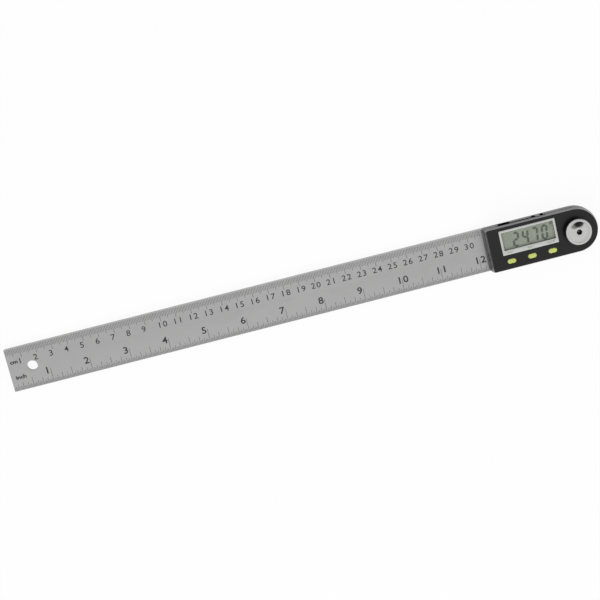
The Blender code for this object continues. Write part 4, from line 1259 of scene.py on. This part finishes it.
@dataclass
class Pivot:
    """The stud, its bush, washers and clip, and the four screws."""

    finishes: Finishes

    def build(self) -> None:
        """Dresses the pivot's solids and the screws."""
        made = self.finishes
        dress_node("pivot_bush", made.brass)
        dress_node("friction_washer", made.nylon)
        for name in ("pivot_stud", "thrust_washer", "rotor_clip"):
            dress_node(name, made.steel, 0.05 * MM)
        for number in range(1, 5):
            dress_node(f"housing_screw_{number}", made.steel)


@dataclass(frozen=True)
class TentGap:
    """An opening in the tent, by the horizontal part of its direction, its reach and its light."""

    middle: Point
    reach: Point
    light: float


@dataclass(frozen=True)
class Softbox:
    """A square soft lamp: where it hangs, its side in metres and its power in watts."""

    name: str
    place: tuple[float, float, float]
    side: float
    power: float


@dataclass
class Studio:
    """The white floor, the soft light and the camera at the photograph's angle."""

    aim: tuple[float, float, float] = (-178.99 * MM, -1.56 * MM, 4.3 * MM)
    distance: float = 1004.9 * MM
    tilt: float = 12.463
    turn: float = -1.414
    roll: float = -14.294
    focal_pixels: float = 1591.6
    dome_shares: tuple[float, float] = (0.6, 0.82)
    gaps: tuple[TentGap, ...] = (
        TentGap((-0.08, 0.24), (0.2, 0.16), 0.3),
        TentGap((0.29, 0.42), (0.38, 0.31), 0.02),
    )
    softboxes: tuple[Softbox, ...] = (
        Softbox("key_softbox", (-0.6, -0.9, 1.3), 1.2, 9.0),
        Softbox("fill_softbox", (1.0, 0.1, 1.2), 0.9, 3.5),
    )
    floor_tone: Colour = (0.9, 0.9, 0.9)
    floor_roughness: float = 0.9
    floor_side: float = 6.0
    floor_drop: float = 0.3 * MM
    camera_glow: float = 0.92
    mirrored_glow: float = 0.5

    def build(self) -> None:
        """Builds the camera, the floor and the lights."""
        self.build_camera()
        self.build_floor()
        self.build_world()
        for softbox in self.softboxes:
            self.hang(softbox)
        bpy.context.scene.view_settings.view_transform = "Standard"

    def build_camera(self) -> None:
        """Places a perspective camera by its aim, distance and three angles."""
        tilt, turn, roll = (math.radians(angle) for angle in (self.tilt, self.turn, self.roll))
        back = Vector((math.sin(turn), math.sin(tilt) * math.cos(turn), math.cos(tilt) * math.cos(turn)))
        back.normalize()
        right = Vector((1.0, 0.0, 0.0))
        right = (right - back * right.dot(back)).normalized()
        above = back.cross(right)
        rolled = right * math.cos(roll) + above * math.sin(roll)
        top = above * math.cos(roll) - right * math.sin(roll)
        matrix = Matrix((rolled, top, back)).transposed().to_4x4()
        matrix.translation = Vector(self.aim) + back * self.distance
        lens = bpy.data.cameras.new("camera")
        lens.sensor_width = SENSOR_WIDTH
        lens.lens = SENSOR_WIDTH * self.focal_pixels / PHOTO_SIDE
        lens.clip_start = 0.01
        camera = place_object("camera", lens)
        camera.matrix_world = matrix
        bpy.context.scene.camera = camera

    def build_floor(self) -> None:
        """Lays a white floor that keeps a light shadow."""
        material = bpy.data.materials.new("studio_floor")
        material.use_nodes = True
        graph = Graph(material.node_tree)
        output = material.node_tree.nodes["Material Output"]
        shader = material.node_tree.nodes["Principled BSDF"]
        shader.inputs["Base Color"].default_value = opaque(self.floor_tone)
        shader.inputs["Roughness"].default_value = self.floor_roughness
        shader.inputs["Specular IOR Level"].default_value = 0.0
        glow = graph.add("Emission", {"Color": opaque((1.0, 1.0, 1.0)), "Strength": 1.0})
        path = graph.add("LightPath").outputs
        direct = graph.math("MAXIMUM", path["Is Camera Ray"], path["Is Transmission Ray"])
        seen = graph.math("MULTIPLY", direct, self.camera_glow)
        mirrored = graph.math("MULTIPLY", path["Is Glossy Ray"], self.mirrored_glow)
        share = graph.math("MAXIMUM", seen, mirrored)
        mixed = graph.add("MixShader", {0: share, 1: shader.outputs[0], 2: glow.outputs[0]})
        graph.feed(output.inputs["Surface"], mixed.outputs[0])
        bm = bmesh.new()
        half = self.floor_side / 2
        corners = [(-half, -half), (half, -half), (half, half), (-half, half)]
        bm.faces.new([bm.verts.new((x, y, CAD_BOX[0].z - self.floor_drop)) for x, y in corners])
        place_object("floor", make_mesh("floor", bm, material))

    def build_world(self) -> None:
        """Makes a white tent, dimmer at its foot, with the dark gap where the camera looks in."""
        world = bpy.data.worlds.new("studio_tent")
        world.use_nodes = True
        bpy.context.scene.world = world
        graph = Graph(world.node_tree)
        background = world.node_tree.nodes["Background"]
        axes = graph.add("SeparateXYZ", {0: graph.add("TexCoord").outputs["Generated"]}).outputs
        tent = graph.ramp(axes[2], 0.05, 0.75, *self.dome_shares)
        below = graph.math("LESS_THAN", axes[2], 0.0)
        for gap in self.gaps:
            offsets = []
            for axis, middle, reach in zip(axes, gap.middle, gap.reach):
                share = graph.math("DIVIDE", graph.math("SUBTRACT", axis, middle), reach)
                offsets.append(graph.math("MULTIPLY", share, share))
            apart = graph.math("ADD", graph.math("SQRT", graph.math("ADD", *offsets)), below)
            open_share = graph.ramp(apart, 0.8, 1.12, 1.0, 0.0)
            tent = graph.add("Mix", {"Factor": open_share, "A": tent, "B": gap.light}).outputs["Result"]
        path = graph.add("LightPath").outputs
        value = graph.math("MAXIMUM", tent, path["Is Camera Ray"])
        grey = graph.add("CombineColor", {0: value, 1: value, 2: value})
        graph.feed(background.inputs["Color"], grey.outputs[0])
        background.inputs["Strength"].default_value = 1.0

    def hang(self, softbox: Softbox) -> None:
        """Hangs a soft lamp that faces the tool and isn't mirrored in it."""
        lamp = bpy.data.lights.new(softbox.name, "AREA")
        lamp.shape = "SQUARE"
        lamp.size = softbox.side
        lamp.energy = softbox.power
        item = place_object(softbox.name, lamp)
        item.location = softbox.place
        item.visible_glossy = False
        way = Vector(self.aim) - Vector(softbox.place)
        item.rotation_euler = way.to_track_quat("-Z", "Y").to_euler()


def main() -> None:
    """Builds the tool's looks in order."""
    logging.basicConfig(level=logging.INFO, format="%(message)s")
    finishes = Finishes()
    Studio().build()
    housing_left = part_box("housing_tub")[0].x
    for node, body in (("front_blade", "display_arm"), ("rear_blade", "rear_arm")):
        free_length = housing_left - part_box(node)[0].x
        Ruler(node, body, finishes, free_length).build()
    Housing(finishes).build()
    Pivot(finishes).build()
    Display(finishes).build()
    Buttons(finishes).build()
    LockKnob(finishes).build()


if __name__ == "__main__":
    main()
